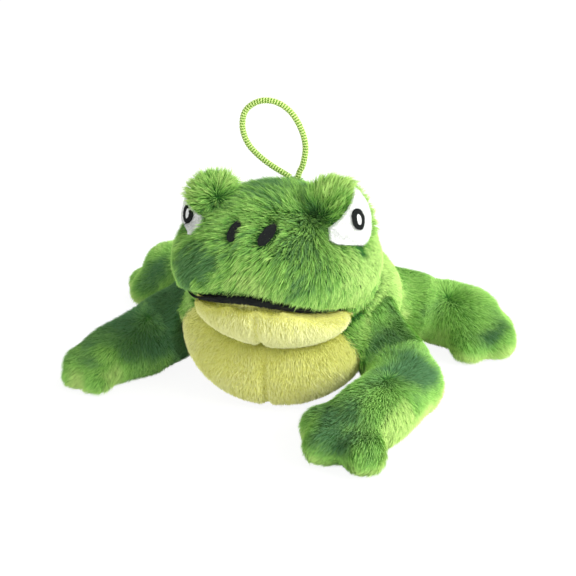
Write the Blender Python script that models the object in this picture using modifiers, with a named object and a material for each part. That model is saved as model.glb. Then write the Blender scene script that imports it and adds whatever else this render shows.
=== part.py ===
"""A stuffed plush frog that lies on its belly, with a hanging loop of cord on its crown.

Metres, +Z up. The frog faces -Y, so its own left side is +X. Every seam is a small gap.
"""

import math

import bmesh
import bpy
from mathutils import Matrix, Vector

# Fits shared by every piece
GAP = 0.0003
SKIN_THICKNESS = 0.002
FLOOR_CUT = 0.0005
CUT_OVERRUN = 0.012
BALL_FIT_SHARE = 0.97

# Body, from the front of the belly to the rump
BODY_FRONT_Y = -0.045
BODY_LENGTH = 0.113
BODY_WIDTH = 0.093
BODY_HEIGHT = 0.065
BODY_SIDES = 12
# share of the length, of half the width, of the height below and of the height above
BODY_STATION_SHARES = (
    (0.00, 0.38, 0.11, 0.50),
    (0.07, 0.72, -0.006, 0.68),
    (0.21, 0.94, -0.012, 0.86),
    (0.43, 1.04, -0.009, 1.02),
    (0.66, 1.02, -0.011, 0.98),
    (0.87, 0.76, 0.01, 0.74),
    (1.00, 0.36, 0.16, 0.48),
)
BODY_HOLLOW_SIDES = 8
BELLY_PANEL_WIDTH = 0.092
BELLY_PANEL_LENGTH = 0.150
BELLY_PANEL_HEIGHT = 0.104
BELLY_PANEL_SIDE_SHIFT = -0.004
BELLY_PANEL_ALONG_SHARE = 0.13

# Head, from the snout to the back of the neck
HEAD_AHEAD = 0.018
HEAD_SIDE_SHIFT = -0.0006
HEAD_FLOOR_HEIGHT = 0.031
HEAD_LENGTH = 0.083
HEAD_WIDTH = 0.089
HEAD_HEIGHT = 0.060
HEAD_SIDES = 12
HEAD_HOLLOW_SIDES = 8
HEAD_PINCH_SHARE = 0.12
HEAD_STATION_SHARES = (
    (0.00, 0.34, 0.46, 0.72),
    (0.07, 0.66, 0.37, 0.83),
    (0.22, 0.87, 0.24, 0.93),
    (0.43, 0.99, 0.11, 1.00),
    (0.66, 1.02, 0.02, 1.02),
    (0.87, 0.84, 0.10, 0.90),
    (1.00, 0.48, 0.26, 0.68),
)
NECK_PIVOT_SHARES = (0.66, 0.52)
NECK_OPENING_SHARES = (0.78, 0.06)
NECK_OPENING_RADIUS = 0.016
NOD_CLEARANCE = 0.0008
FILLING_CLEARANCE = 0.003

# Jaw, a roll under the snout, a little lower on its left
JAW_WIDTH = 0.072
JAW_LENGTH = 0.062
JAW_HEIGHT = 0.038
JAW_BEHIND_SNOUT = 0.0015
JAW_SIDE_SHIFT = 0.0010
JAW_FLOOR_HEIGHT = 0.0305
JAW_ROLL_DEG = 5

# Eye mounds, each with a white patch, an embroidered pupil and a glint
MOUND_BACK_SHARE = 0.50
# The white is a round counted from the pupil, cut along its lid and along its lower edge
EYES = {
    "left": {
        "side": 1,
        "mound_width": 0.0295,
        "mound_depth": 0.031,
        "mound_height": 0.045,
        "side_share": 0.562,
        "above_head": 0.0065,
        "facing_deg": 51,
        "pupil_height": 0.0853,
        "white_radius": 0.0130,
        "white_inward": 0.0030,
        "lid_distance": 0.0049,
        "lid_deg": 39,
        "lower_distance": 0.0101,
        "lower_deg": 15,
    },
    "right": {
        "side": -1,
        "mound_width": 0.0252,
        "mound_depth": 0.027,
        "mound_height": 0.042,
        "side_share": 0.576,
        "above_head": 0.0055,
        "facing_deg": 36,
        "pupil_height": 0.0830,
        "white_radius": 0.0112,
        "white_inward": 0.0002,
        "lid_distance": 0.0018,
        "lid_deg": 20,
        "lower_distance": 0.0052,
        "lower_deg": 0,
    },
}
EYE_WHITE_THICKNESS = 0.0011
PUPIL_HEIGHT = 0.0082
PUPIL_WIDTH = 0.0062
PUPIL_THREAD_WIDTH = 0.0017
THREAD_THICKNESS = 0.0008

# Nostrils and mouth, in satin stitch on the head's skin
NOSTRIL_WIDTH = 0.0042
NOSTRIL_SPACING = 0.0138
NOSTRIL_SIDE_SHIFT = -0.0028
NOSTRIL_HEIGHT_SHARE = 0.87
NOSTRILS = {
    "left": {"side": 1, "length": 0.0066, "slant_deg": 50},
    "right": {"side": -1, "length": 0.0056, "slant_deg": 36},
}
MOUTH_WIDTH = 0.065
MOUTH_SIDE_SHIFT = -0.0018
MOUTH_DROP = 0.0112
MOUTH_TILT = 0.0012
MOUTH_THREAD_HEIGHT = 0.0024
MOUTH_HEIGHT_SHARE = 0.455
MOUTH_END_SHARE = 0.02
MOUTH_POINTS = 12
MOUTH_ROOM_SHARE = 1.4

# Limbs: a ball at each root sits in a round hollow of what carries it
LIMB_SIDES = 8
BALL_SIDES = 12
BALL_ROWS = 8
STUFFING_HOLE_RADIUS = 0.005
ELBOW_SETBACK_SHARE = 0.36
# share of the way from root to middle, and of the width there
FIRST_STATION_SHARES = ((-0.18, 0.72), (0.10, 1.0), (0.55, 1.06), (0.86, 1.06), (1.0, 0.96))
# share of the way from middle to palm, how far the width is the paw's, and of that width
SECOND_STATION_SHARES = (
    (-0.25, 0.0, 0.72),
    (0.12, 0.1, 1.0),
    (0.50, 0.5, 1.02),
    (1.00, 1.0, 1.05),
)
PAW_END_SHARE = 0.8
PAW_TIP_SHARE = 0.62
TOE_STRETCH_SHARE = 1.15
# a core's rings as a share of the skin's, and its end rings' way in, own width and next width
CORE_SHARE = 0.95
CORE_END_SHARES = (0.25, 0.60, 0.20)
LIMBS = {
    "arm_left": {
        "root_shares": (0.826, 0.36, 0.38),
        "root_radius": 0.0142,
        "first_heading_deg": -50,
        "first_length": 0.0322,
        "middle_radius": 0.0138,
        "second_heading_deg": -110.5,
        "second_length": 0.0385,
        "paw_width": 0.033,
        "paw_height": 0.026,
        "toe_radius": 0.0086,
        "toe_shares": ((-0.80, 0.98, 1.0), (-0.22, 1.08, 1.05), (0.36, 1.12, 1.04)),
        "lift_range_deg": 15,
        "swing_range_deg": 25,
        "swing_way": 1,
    },
    "arm_right": {
        "root_shares": (-0.867, 0.43, 0.40),
        "root_radius": 0.0155,
        "first_heading_deg": -140,
        "first_length": 0.030,
        "middle_radius": 0.0145,
        "second_heading_deg": -136,
        "second_length": 0.0170,
        "paw_width": 0.027,
        "paw_height": 0.024,
        "toe_radius": 0.0075,
        "toe_shares": ((-0.50, 0.84, 1.0), (0.0, 0.90, 0.95), (0.50, 0.80, 1.0)),
        "lift_range_deg": 15,
        "swing_range_deg": 20,
        "swing_way": -1,
    },
    "leg_left": {
        "root_shares": (0.661, 0.76, 0.34),
        "root_radius": 0.0165,
        "first_heading_deg": 12,
        "first_length": 0.033,
        "middle_radius": 0.0150,
        "second_heading_deg": -22,
        "second_length": 0.0155,
        "paw_width": 0.0305,
        "paw_height": 0.0300,
        "toe_radius": 0.0086,
        "toe_shares": ((-0.78, 0.80, 1.0), (-0.09, 0.72, 1.15), (0.66, 0.70, 1.0)),
        "lift_range_deg": 20,
        "swing_range_deg": 20,
        "swing_way": 1,
    },
    "leg_right": {
        "root_shares": (-0.681, 0.79, 0.36),
        "root_radius": 0.016,
        "first_heading_deg": 138,
        "first_length": 0.038,
        "middle_radius": 0.0145,
        "second_heading_deg": 174,
        "second_length": 0.0178,
        "paw_width": 0.0305,
        "paw_height": 0.030,
        "toe_radius": 0.0086,
        "toe_shares": ((-0.70, 0.80, 1.1), (-0.05, 0.95, 0.75), (0.65, 0.80, 0.95)),
        "lift_range_deg": 20,
        "swing_range_deg": 20,
        "swing_way": -1,
    },
}

# Hanging loop of round cord and the stitched tab that holds its ends
CORD_DIAMETER = 0.0027
TAB_WIDTH = 0.009
TAB_DEPTH = 0.006
TAB_HEIGHT = 0.0018
TAB_TILT_DEG = 25
TAB_PLACE_SHARES = (0.05, 0.79, 0.935)
CORD_POINT_STEPS = 2
# from the tab's centre: a drop-shaped loop that leans to the frog's right
CORD_ROUTE = (
    (-0.0015, 0.0, 0.0030),
    (-0.0039, 0.0, 0.0044),
    (-0.0094, 0.0, 0.0075),
    (-0.0150, 0.0, 0.0115),
    (-0.0197, 0.0, 0.0166),
    (-0.0220, 0.0, 0.0236),
    (-0.0206, 0.0, 0.0308),
    (-0.0148, 0.0, 0.0352),
    (-0.0076, 0.0, 0.0354),
    (-0.0010, 0.0, 0.0314),
    (0.0036, 0.0, 0.0240),
    (0.0054, 0.0, 0.0164),
    (0.0043, 0.0, 0.0088),
    (0.0029, 0.0, 0.0057),
    (0.0021, 0.0, 0.0030),
)

COLOURS = {
    "green_plush": ((0.16, 0.42, 0.06), 0.95),
    "yellow_plush": ((0.78, 0.76, 0.22), 0.95),
    "white_felt": ((0.90, 0.91, 0.88), 0.90),
    "black_thread": ((0.012, 0.014, 0.012), 0.55),
    "white_thread": ((0.92, 0.92, 0.90), 0.60),
    "fibre_filling": ((0.85, 0.85, 0.83), 1.00),
    "lime_cord": ((0.52, 0.80, 0.16), 0.70),
}


def clear_scene():
    for obj in list(bpy.data.objects):
        bpy.data.objects.remove(obj, do_unlink=True)


def make_collection(name):
    collection = bpy.data.collections.new(name)
    bpy.context.scene.collection.children.link(collection)
    return collection


def make_material(name):
    colour, roughness = COLOURS[name]
    material = bpy.data.materials.new(name)
    material.use_nodes = True
    shader = material.node_tree.nodes["Principled BSDF"]
    shader.inputs["Base Color"].default_value = (*colour, 1.0)
    shader.inputs["Roughness"].default_value = roughness
    shader.inputs["Metallic"].default_value = 0.0
    return material


def heading(degrees):
    """Level unit vector, counted anticlockwise from +X."""
    angle = math.radians(degrees)
    return Vector((math.cos(angle), math.sin(angle), 0.0))


class Workshop:
    """Holds the collections and materials, and adds objects to them."""

    def __init__(self):
        self.parts = make_collection("plush_frog")
        self.cutters = make_collection("cutters")
        self.materials = {name: make_material(name) for name in COLOURS}
        self.root = self.empty("frog", Vector(), None)

    def empty(self, name, place, parent):
        obj = bpy.data.objects.new(name, None)
        obj.empty_display_size = TAB_WIDTH
        obj.location = place
        self.parts.objects.link(obj)
        if parent is not None:
            obj.parent = parent
            obj.matrix_parent_inverse = parent.matrix_world.inverted()
        bpy.context.view_layer.update()
        return obj

    def add(self, name, mesh, material, parent):
        """Adds a node whose mesh is in the frog's own coordinates."""
        obj = bpy.data.objects.new(name, mesh)
        self.parts.objects.link(obj)
        mesh.materials.append(self.materials[material])
        obj.parent = parent
        obj.matrix_parent_inverse = parent.matrix_world.inverted()
        return obj

    def add_cutter(self, name, mesh):
        obj = bpy.data.objects.new(name, mesh)
        self.cutters.objects.link(obj)
        obj.hide_render = True
        obj.display_type = "WIRE"
        obj.parent = self.root
        obj.matrix_parent_inverse = self.root.matrix_world.inverted()
        return obj


def finish_mesh(bm, name):
    bmesh.ops.recalc_face_normals(bm, faces=bm.faces)
    mesh = bpy.data.meshes.new(name)
    bm.to_mesh(mesh)
    bm.free()
    mesh.shade_smooth()
    return mesh


def subdivide(obj):
    modifier = obj.modifiers.new("soft", "SUBSURF")
    modifier.levels = 1
    modifier.render_levels = 1


def boolean(obj, operation, others):
    """The exact solver leaves open edges at the limbs' round seats once a size changes, so this isn't it."""
    for other in others:
        modifier = obj.modifiers.new(f"{operation.lower()}_{other.name}", "BOOLEAN")
        modifier.operation = operation
        modifier.solver = "MANIFOLD"
        modifier.object = other


def cut(obj, *others):
    boolean(obj, "DIFFERENCE", others)


def keep_inside(obj, *others):
    boolean(obj, "INTERSECT", others)


def join(obj, *others):
    boolean(obj, "UNION", others)


class Loft:
    """A soft form: rings of a few corners along a spine, grown or shrunk by one distance."""

    def __init__(self, stations, sides, pinch_share=0.0):
        self.stations = stations
        self.sides = sides
        self.pinch_share = pinch_share
        self.along = (stations[-1][0] - stations[0][0]).normalized()

    def mesh(self, name, grow=0.0, sides=None):
        """A cage, widened by what one subdivision takes off."""
        sides = sides or self.sides
        widen = 1 / (0.75 + 0.25 * math.cos(2 * math.pi / sides))
        rings = [list(station) for station in self.stations]
        rings[0][0] = rings[0][0] - self.along * grow
        rings[-1][0] = rings[-1][0] + self.along * grow
        for ring in rings:
            ring[3], ring[4] = (ring[3] + grow) * widen, (ring[4] + grow) * widen
        return self.skin_rings(name, rings, sides)

    def core(self, name, grow):
        """A plain form that stays inside the subdivided cage."""
        way_share, own_share, next_share = CORE_END_SHARES
        rings = [list(station) for station in self.stations]
        for ring in rings[1:-1]:
            ring[3], ring[4] = ring[3] * CORE_SHARE + grow, ring[4] * CORE_SHARE + grow
        for end, beside, sign in ((0, 1, -1), (-1, -2, 1)):
            own, after = self.stations[end], self.stations[beside]
            rings[end][0] = own[0].lerp(after[0], way_share) + self.along * (sign * grow)
            for size in (3, 4):
                rings[end][size] = own_share * own[size] + next_share * after[size] + grow
        return self.skin_rings(name, rings, self.sides)

    def skin_rings(self, name, stations, sides):
        bm = bmesh.new()
        rings = []
        for centre, across, upward, half_width, half_height in stations:
            ring = []
            for corner in range(sides):
                angle = 2 * math.pi * corner / sides
                narrow = 1 - self.pinch_share * math.sin(angle)
                side = across * (half_width * math.cos(angle) * narrow)
                ring.append(bm.verts.new(centre + side + upward * (half_height * math.sin(angle))))
            rings.append(ring)
        for ring, next_ring in zip(rings, rings[1:]):
            for corner in range(sides):
                after = (corner + 1) % sides
                bm.faces.new((ring[corner], ring[after], next_ring[after], next_ring[corner]))
        bm.faces.new(rings[0][::-1])
        bm.faces.new(rings[-1])
        return finish_mesh(bm, name)


def body_loft():
    stations = []
    for along, wide, low, high in BODY_STATION_SHARES:
        centre = Vector((0, BODY_FRONT_Y + along * BODY_LENGTH, (low + high) / 2 * BODY_HEIGHT))
        half_height = (high - low) / 2 * BODY_HEIGHT
        stations.append((centre, Vector((1, 0, 0)), Vector((0, 0, 1)), wide * BODY_WIDTH / 2, half_height))
    return Loft(stations, BODY_SIDES)


def body_place(shares):
    side, along, height = shares
    return Vector((side * BODY_WIDTH / 2, BODY_FRONT_Y + along * BODY_LENGTH, height * BODY_HEIGHT))


def head_place(side_share, along_share, height_share):
    return Vector(
        (
            HEAD_SIDE_SHIFT + side_share * HEAD_WIDTH / 2,
            BODY_FRONT_Y - HEAD_AHEAD + along_share * HEAD_LENGTH,
            HEAD_FLOOR_HEIGHT + height_share * HEAD_HEIGHT,
        )
    )


def head_loft():
    stations = []
    for along, wide, low, high in HEAD_STATION_SHARES:
        centre = head_place(0, along, (low + high) / 2)
        half_height = (high - low) / 2 * HEAD_HEIGHT
        stations.append((centre, Vector((1, 0, 0)), Vector((0, 0, 1)), wide * HEAD_WIDTH / 2, half_height))
    return Loft(stations, HEAD_SIDES, HEAD_PINCH_SHARE)


def joint_ball(name, centre, radius):
    return ball_mesh(name, centre, [radius] * 3, BALL_SIDES, BALL_ROWS)


def joint_seat(name, centre, radius):
    """A faceted hollow that clears the ball by the gap however it turns, half a side round from it at rest."""
    flat_share = math.cos(math.pi / BALL_SIDES) * math.cos(math.pi / BALL_ROWS / 2)
    half_side = Matrix.Rotation(math.pi / BALL_SIDES, 4, "Z")
    return ball_mesh(name, centre, [(radius + GAP) / flat_share] * 3, BALL_SIDES, BALL_ROWS, half_side)


def ball_mesh(name, centre, radii, around=16, rows=10, turn=None):
    """An ellipsoid about its centre, turned by a rotation matrix if one is given."""
    bm = bmesh.new()
    bmesh.ops.create_uvsphere(bm, u_segments=around, v_segments=rows, radius=1.0)
    place = Matrix.Translation(centre) @ (turn or Matrix.Identity(4)) @ Matrix.Diagonal((*radii, 1.0))
    bmesh.ops.transform(bm, matrix=place, verts=bm.verts)
    return finish_mesh(bm, name)


def box_mesh(name, low, high):
    bm = bmesh.new()
    bmesh.ops.create_cube(bm, size=1.0)
    size = high - low
    place = Matrix.Translation((low + high) / 2) @ Matrix.Diagonal((*size, 1.0))
    bmesh.ops.transform(bm, matrix=place, verts=bm.verts)
    return finish_mesh(bm, name)


def prism_mesh(name, outline, origin, facing, depth):
    """A flat outline in (right, up) about the origin, carried along the way it faces by the depth each way."""
    right = Vector((-facing.y, facing.x, 0)).normalized()
    upward = facing.cross(right)
    bm = bmesh.new()
    front = [bm.verts.new(origin + right * u + upward * v + facing * depth) for u, v in outline]
    back = [bm.verts.new(origin + right * u + upward * v - facing * depth) for u, v in outline]
    bm.faces.new(front)
    bm.faces.new(back[::-1])
    for index in range(len(outline)):
        after = (index + 1) % len(outline)
        bm.faces.new((front[after], front[index], back[index], back[after]))
    return finish_mesh(bm, name)


def oval(half_width, half_height, points, slant_deg=0.0, centre=(0.0, 0.0)):
    outline = []
    slant = math.radians(slant_deg)
    for index in range(points):
        angle = 2 * math.pi * index / points
        u = half_width * math.cos(angle)
        v = half_height * math.sin(angle)
        turned_u = u * math.cos(slant) - v * math.sin(slant)
        turned_v = u * math.sin(slant) + v * math.cos(slant)
        outline.append((centre[0] + turned_u, centre[1] + turned_v))
    return outline


class Limb:
    """Two stuffed lengths, the second with a paw or foot and its toes."""

    def __init__(self, name, sizes):
        self.name = name
        self.sizes = sizes
        self.root = body_place(sizes["root_shares"])
        self.first_way = heading(sizes["first_heading_deg"])
        self.second_way = heading(sizes["second_heading_deg"])
        middle_height = sizes["middle_radius"] - FLOOR_CUT
        self.middle = self.root + self.first_way * sizes["first_length"]
        self.middle.z = middle_height
        self.palm = self.middle + self.second_way * sizes["second_length"]
        self.palm.z = sizes["paw_height"] / 2 - FLOOR_CUT
        self.lift_axis = Vector((self.first_way.y, -self.first_way.x, 0))
        self.swing_axis = Vector((0, 0, sizes["swing_way"]))

    def first_loft(self):
        root_radius = self.sizes["root_radius"] * BALL_FIT_SHARE
        middle_radius = self.sizes["middle_radius"] * BALL_FIT_SHARE
        way = (self.middle - self.root).normalized()
        across = way.cross(Vector((0, 0, 1))).normalized()
        upward = across.cross(way)
        reach = (self.middle - self.root).length - ELBOW_SETBACK_SHARE * middle_radius
        stations = []
        for share, size_share in FIRST_STATION_SHARES:
            radius = size_share * (root_radius + (middle_radius - root_radius) * max(share, 0.0))
            stations.append((self.root + way * (reach * share), across, upward, radius, radius))
        return Loft(stations, LIMB_SIDES)

    def second_loft(self):
        middle_radius = self.sizes["middle_radius"] * BALL_FIT_SHARE
        half_width = self.sizes["paw_width"] / 2
        half_height = self.sizes["paw_height"] / 2
        span = self.palm - self.middle
        across = span.cross(Vector((0, 0, 1))).normalized()
        upward = across.cross(span).normalized()
        tip = (1 + half_width * PAW_END_SHARE / span.length, 1.0, PAW_TIP_SHARE)
        stations = []
        for share, blend, size_share in (*SECOND_STATION_SHARES, tip):
            wide = size_share * (middle_radius + (half_width - middle_radius) * blend)
            high = size_share * (middle_radius + (half_height - middle_radius) * blend)
            stations.append((self.middle + span * share, across, upward, wide, high))
        return Loft(stations, LIMB_SIDES)

    def toe_places(self):
        """Centre and radius of each toe, fanned round the palm and resting on the floor."""
        for turn_share, reach_share, size_share in self.sizes["toe_shares"]:
            radius = self.sizes["toe_radius"] * size_share
            way = heading(self.sizes["second_heading_deg"] + turn_share * 90)
            place = self.palm + way * (reach_share * self.sizes["paw_width"] / 2)
            place.z = radius - FLOOR_CUT
            yield place, way, radius


def turned(mesh, name, pivot, axis, degrees):
    """A copy of a mesh turned about a joint."""
    copy = mesh.copy()
    copy.name = name
    spin = Matrix.Rotation(math.radians(degrees), 4, axis)
    copy.transform(Matrix.Translation(pivot) @ spin @ Matrix.Translation(-pivot))
    return copy


def sweep_cutters(shop, name, loft, pivot, axis, degrees_list):
    """A loft's clearance at several turns about a joint."""
    cutters = []
    for index, degrees in enumerate(degrees_list):
        sweep_name = f"{name}_{index}"
        mesh = turned(loft.mesh(sweep_name, GAP), sweep_name, pivot, axis, degrees)
        cutter = shop.add_cutter(sweep_name, mesh)
        subdivide(cutter)
        cutters.append(cutter)
    return cutters


def build_limb(shop, limb, floor):
    """Returns what the body makes room for."""
    name, sizes = limb.name, limb.sizes
    lift = shop.empty(f"{name}_lift_axis", limb.root, shop.root)
    swing = shop.empty(f"{name}_swing_axis", limb.middle, lift)
    root_radius, middle_radius = sizes["root_radius"], sizes["middle_radius"]
    lift_range, swing_range = sizes["lift_range_deg"], sizes["swing_range_deg"]
    first, second = limb.first_loft(), limb.second_loft()
    upper, lower = ("upper_arm", "forearm") if name.startswith("arm") else ("thigh", "foot")
    side = name.split("_")[1]

    def cutter(piece, mesh_maker, *values):
        label = f"{name}_{piece}"
        return shop.add_cutter(label, mesh_maker(label, *values))

    # First length: its skin, hollow, and filling
    root_ball = cutter("root_ball", joint_ball, limb.root, root_radius)
    hollow = cutter("first_hollow", first.core, -SKIN_THICKNESS)
    middle_seat = cutter("middle_seat", joint_seat, limb.middle, middle_radius)
    turns = (0, swing_range / 2, swing_range)
    sweeps = sweep_cutters(shop, f"{name}_second_sweep", second, limb.middle, limb.swing_axis, turns)
    first_skin = shop.add(f"{upper}_{side}_skin", first.mesh(f"{upper}_{side}_skin"), "green_plush", lift)
    subdivide(first_skin)
    join(first_skin, root_ball)
    cut(first_skin, hollow, middle_seat, *sweeps, floor)
    filling_name = f"{upper}_{side}_filling"
    filling_mesh = first.core(filling_name, -SKIN_THICKNESS - GAP)
    first_filling = shop.add(filling_name, filling_mesh, "fibre_filling", lift)
    cut(first_filling, middle_seat, *sweeps)

    # Second length: its skin with toes, hollow, stuffing hole and filling
    middle_ball = cutter("middle_ball", joint_ball, limb.middle, middle_radius)
    second_hollow = cutter("second_hollow", second.core, -SKIN_THICKNESS)
    toes = []
    for index, (place, way, radius) in enumerate(limb.toe_places()):
        turn = Matrix.Rotation(math.atan2(way.y, way.x), 4, "Z")
        radii = (radius * TOE_STRETCH_SHARE, radius, radius)
        toes.append(cutter(f"toe_{index}", ball_mesh, place, radii, 10, 8, turn))
    outline = oval(STUFFING_HOLE_RADIUS, STUFFING_HOLE_RADIUS, LIMB_SIDES)
    behind = limb.middle - limb.second_way * middle_radius
    hole = cutter("stuffing_hole", prism_mesh, outline, behind, limb.second_way, middle_radius)
    second_skin = shop.add(f"{lower}_{side}_skin", second.mesh(f"{lower}_{side}_skin"), "green_plush", swing)
    subdivide(second_skin)
    join(second_skin, middle_ball, *toes)
    cut(second_skin, second_hollow, hole, floor)
    filling_name = f"{lower}_{side}_filling"
    filling_mesh = second.core(filling_name, -SKIN_THICKNESS - GAP)
    shop.add(filling_name, filling_mesh, "fibre_filling", swing)

    seat = cutter("seat", joint_seat, limb.root, root_radius)
    turns = (0, lift_range / 2, lift_range)
    return [seat, *sweep_cutters(shop, f"{name}_first_sweep", first, limb.root, limb.lift_axis, turns)]


def neck_pivot():
    along, height = NECK_PIVOT_SHARES
    return head_place(0, along, height)


def jaw_mesh(name, grow=0.0):
    centre = Vector(
        (
            JAW_SIDE_SHIFT,
            BODY_FRONT_Y - HEAD_AHEAD + JAW_BEHIND_SNOUT + JAW_LENGTH / 2,
            JAW_FLOOR_HEIGHT + JAW_HEIGHT / 2,
        )
    )
    radii = (JAW_WIDTH / 2 + grow, JAW_LENGTH / 2 + grow, JAW_HEIGHT / 2 + grow)
    return ball_mesh(name, centre, radii, turn=Matrix.Rotation(math.radians(JAW_ROLL_DEG), 4, "Y"))


def mouth_shares(reach):
    """Steps along the mouth, from its right corner at -1 to its left corner at 1."""
    return [reach * (2 * index / MOUTH_POINTS - 1) for index in range(MOUTH_POINTS + 1)]


def mouth_edge(share, side, spread=0.0):
    """A point above or below the mouth's own line, which drops to both corners and tapers to a point there."""
    half = MOUTH_THREAD_HEIGHT / 2 * math.sqrt(max(1 - share**4, MOUTH_END_SHARE)) + spread
    u = MOUTH_SIDE_SHIFT + share * MOUTH_WIDTH / 2
    return u, side * half - MOUTH_DROP * share * share - MOUTH_TILT * share


def mouth_room(shop, name, spread):
    """Everything above the mouth's lower edge, and a spread below it, which the jaw stays out of."""
    outline = [mouth_edge(share, -1, spread) for share in mouth_shares(MOUTH_ROOM_SHARE)]
    outline += [(outline[-1][0], HEAD_HEIGHT), (outline[0][0], HEAD_HEIGHT)]
    origin = head_place(0, 0, MOUTH_HEIGHT_SHARE)
    return shop.add_cutter(name, prism_mesh(name, outline, origin, Vector((0, -1, 0)), HEAD_LENGTH))


def half_space(shop, name, side):
    """A box that holds everything on one side of the middle seam, half a gap away from it."""
    reach = BODY_LENGTH + CUT_OVERRUN
    near, far = side * GAP / 2, side * reach
    low = Vector((min(near, far), -reach, -reach))
    high = Vector((max(near, far), reach, reach))
    return shop.add_cutter(name, box_mesh(name, low, high))


def build_body(shop, floor, halves, clearances, filling_room):
    loft = body_loft()
    hollow = shop.add_cutter("body_hollow", loft.mesh("body_hollow", -SKIN_THICKNESS, BODY_HOLLOW_SIDES))
    subdivide(hollow)
    along = BODY_FRONT_Y + BELLY_PANEL_ALONG_SHARE * BODY_LENGTH
    belly_centre = Vector((BELLY_PANEL_SIDE_SHIFT, along, 0))
    belly_radii = (BELLY_PANEL_WIDTH / 2, BELLY_PANEL_LENGTH / 2, BELLY_PANEL_HEIGHT / 2)
    inside = shop.add_cutter("belly_outline", ball_mesh("belly_outline", belly_centre, belly_radii, 24, 14))
    grown_radii = [radius + GAP for radius in belly_radii]
    outside = shop.add_cutter("back_outline", ball_mesh("back_outline", belly_centre, grown_radii, 24, 14))
    back = shop.add("back_skin", loft.mesh("back_skin"), "green_plush", shop.root)
    subdivide(back)
    cut(back, *clearances, floor, outside, hollow)
    for side_name, half in halves.items():
        name = f"belly_panel_{side_name}"
        panel = shop.add(name, loft.mesh(name), "yellow_plush", shop.root)
        subdivide(panel)
        keep_inside(panel, half)
        cut(panel, *clearances, floor)
        keep_inside(panel, inside)
        cut(panel, hollow)
    filling_mesh = loft.mesh("body_filling", -SKIN_THICKNESS - GAP, BODY_HOLLOW_SIDES)
    filling = shop.add("body_filling", filling_mesh, "fibre_filling", shop.root)
    subdivide(filling)
    cut(filling, filling_room, *clearances)


def build_head(shop, head, halves, loft, head_grown):
    hollow = shop.add_cutter("head_hollow", loft.mesh("head_hollow", -SKIN_THICKNESS, HEAD_HOLLOW_SIDES))
    subdivide(hollow)
    opening_centre = head_place(0, *NECK_OPENING_SHARES)
    opening = shop.add_cutter("neck_opening", joint_ball("neck_opening", opening_centre, NECK_OPENING_RADIUS))
    skin = shop.add("head_skin", loft.mesh("head_skin"), "green_plush", head)
    subdivide(skin)
    cut(skin, hollow, opening)
    filling_mesh = loft.mesh("head_filling", -SKIN_THICKNESS - GAP, HEAD_HOLLOW_SIDES)
    filling = shop.add("head_filling", filling_mesh, "fibre_filling", head)
    subdivide(filling)
    # Jaw: two panels over their own filling, all below the mouth and cut by the head
    above_jaw = mouth_room(shop, "mouth_room", GAP)
    above_hollow = mouth_room(shop, "mouth_room_hollow", GAP + SKIN_THICKNESS)
    above_filling = mouth_room(shop, "mouth_room_filling", GAP + SKIN_THICKNESS + GAP)
    jaw_hollow = shop.add_cutter("jaw_hollow", jaw_mesh("jaw_hollow", -SKIN_THICKNESS))
    cut(jaw_hollow, above_hollow)
    for side_name, half in halves.items():
        name = f"jaw_panel_{side_name}"
        panel = shop.add(name, jaw_mesh(name), "yellow_plush", head)
        cut(panel, jaw_hollow, head_grown, above_jaw)
        keep_inside(panel, half)
    jaw_filling = shop.add("jaw_filling", jaw_mesh("jaw_filling", -SKIN_THICKNESS - GAP), "fibre_filling", head)
    cut(jaw_filling, head_grown, above_filling)


def cut_along(outline, way, distance):
    """Moves the points that lie past a straight edge back onto it."""
    points = []
    for u, v in outline:
        past = max(u * way[0] + v * way[1] - distance, 0)
        points.append((u - way[0] * past, v - way[1] * past))
    return points


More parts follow.
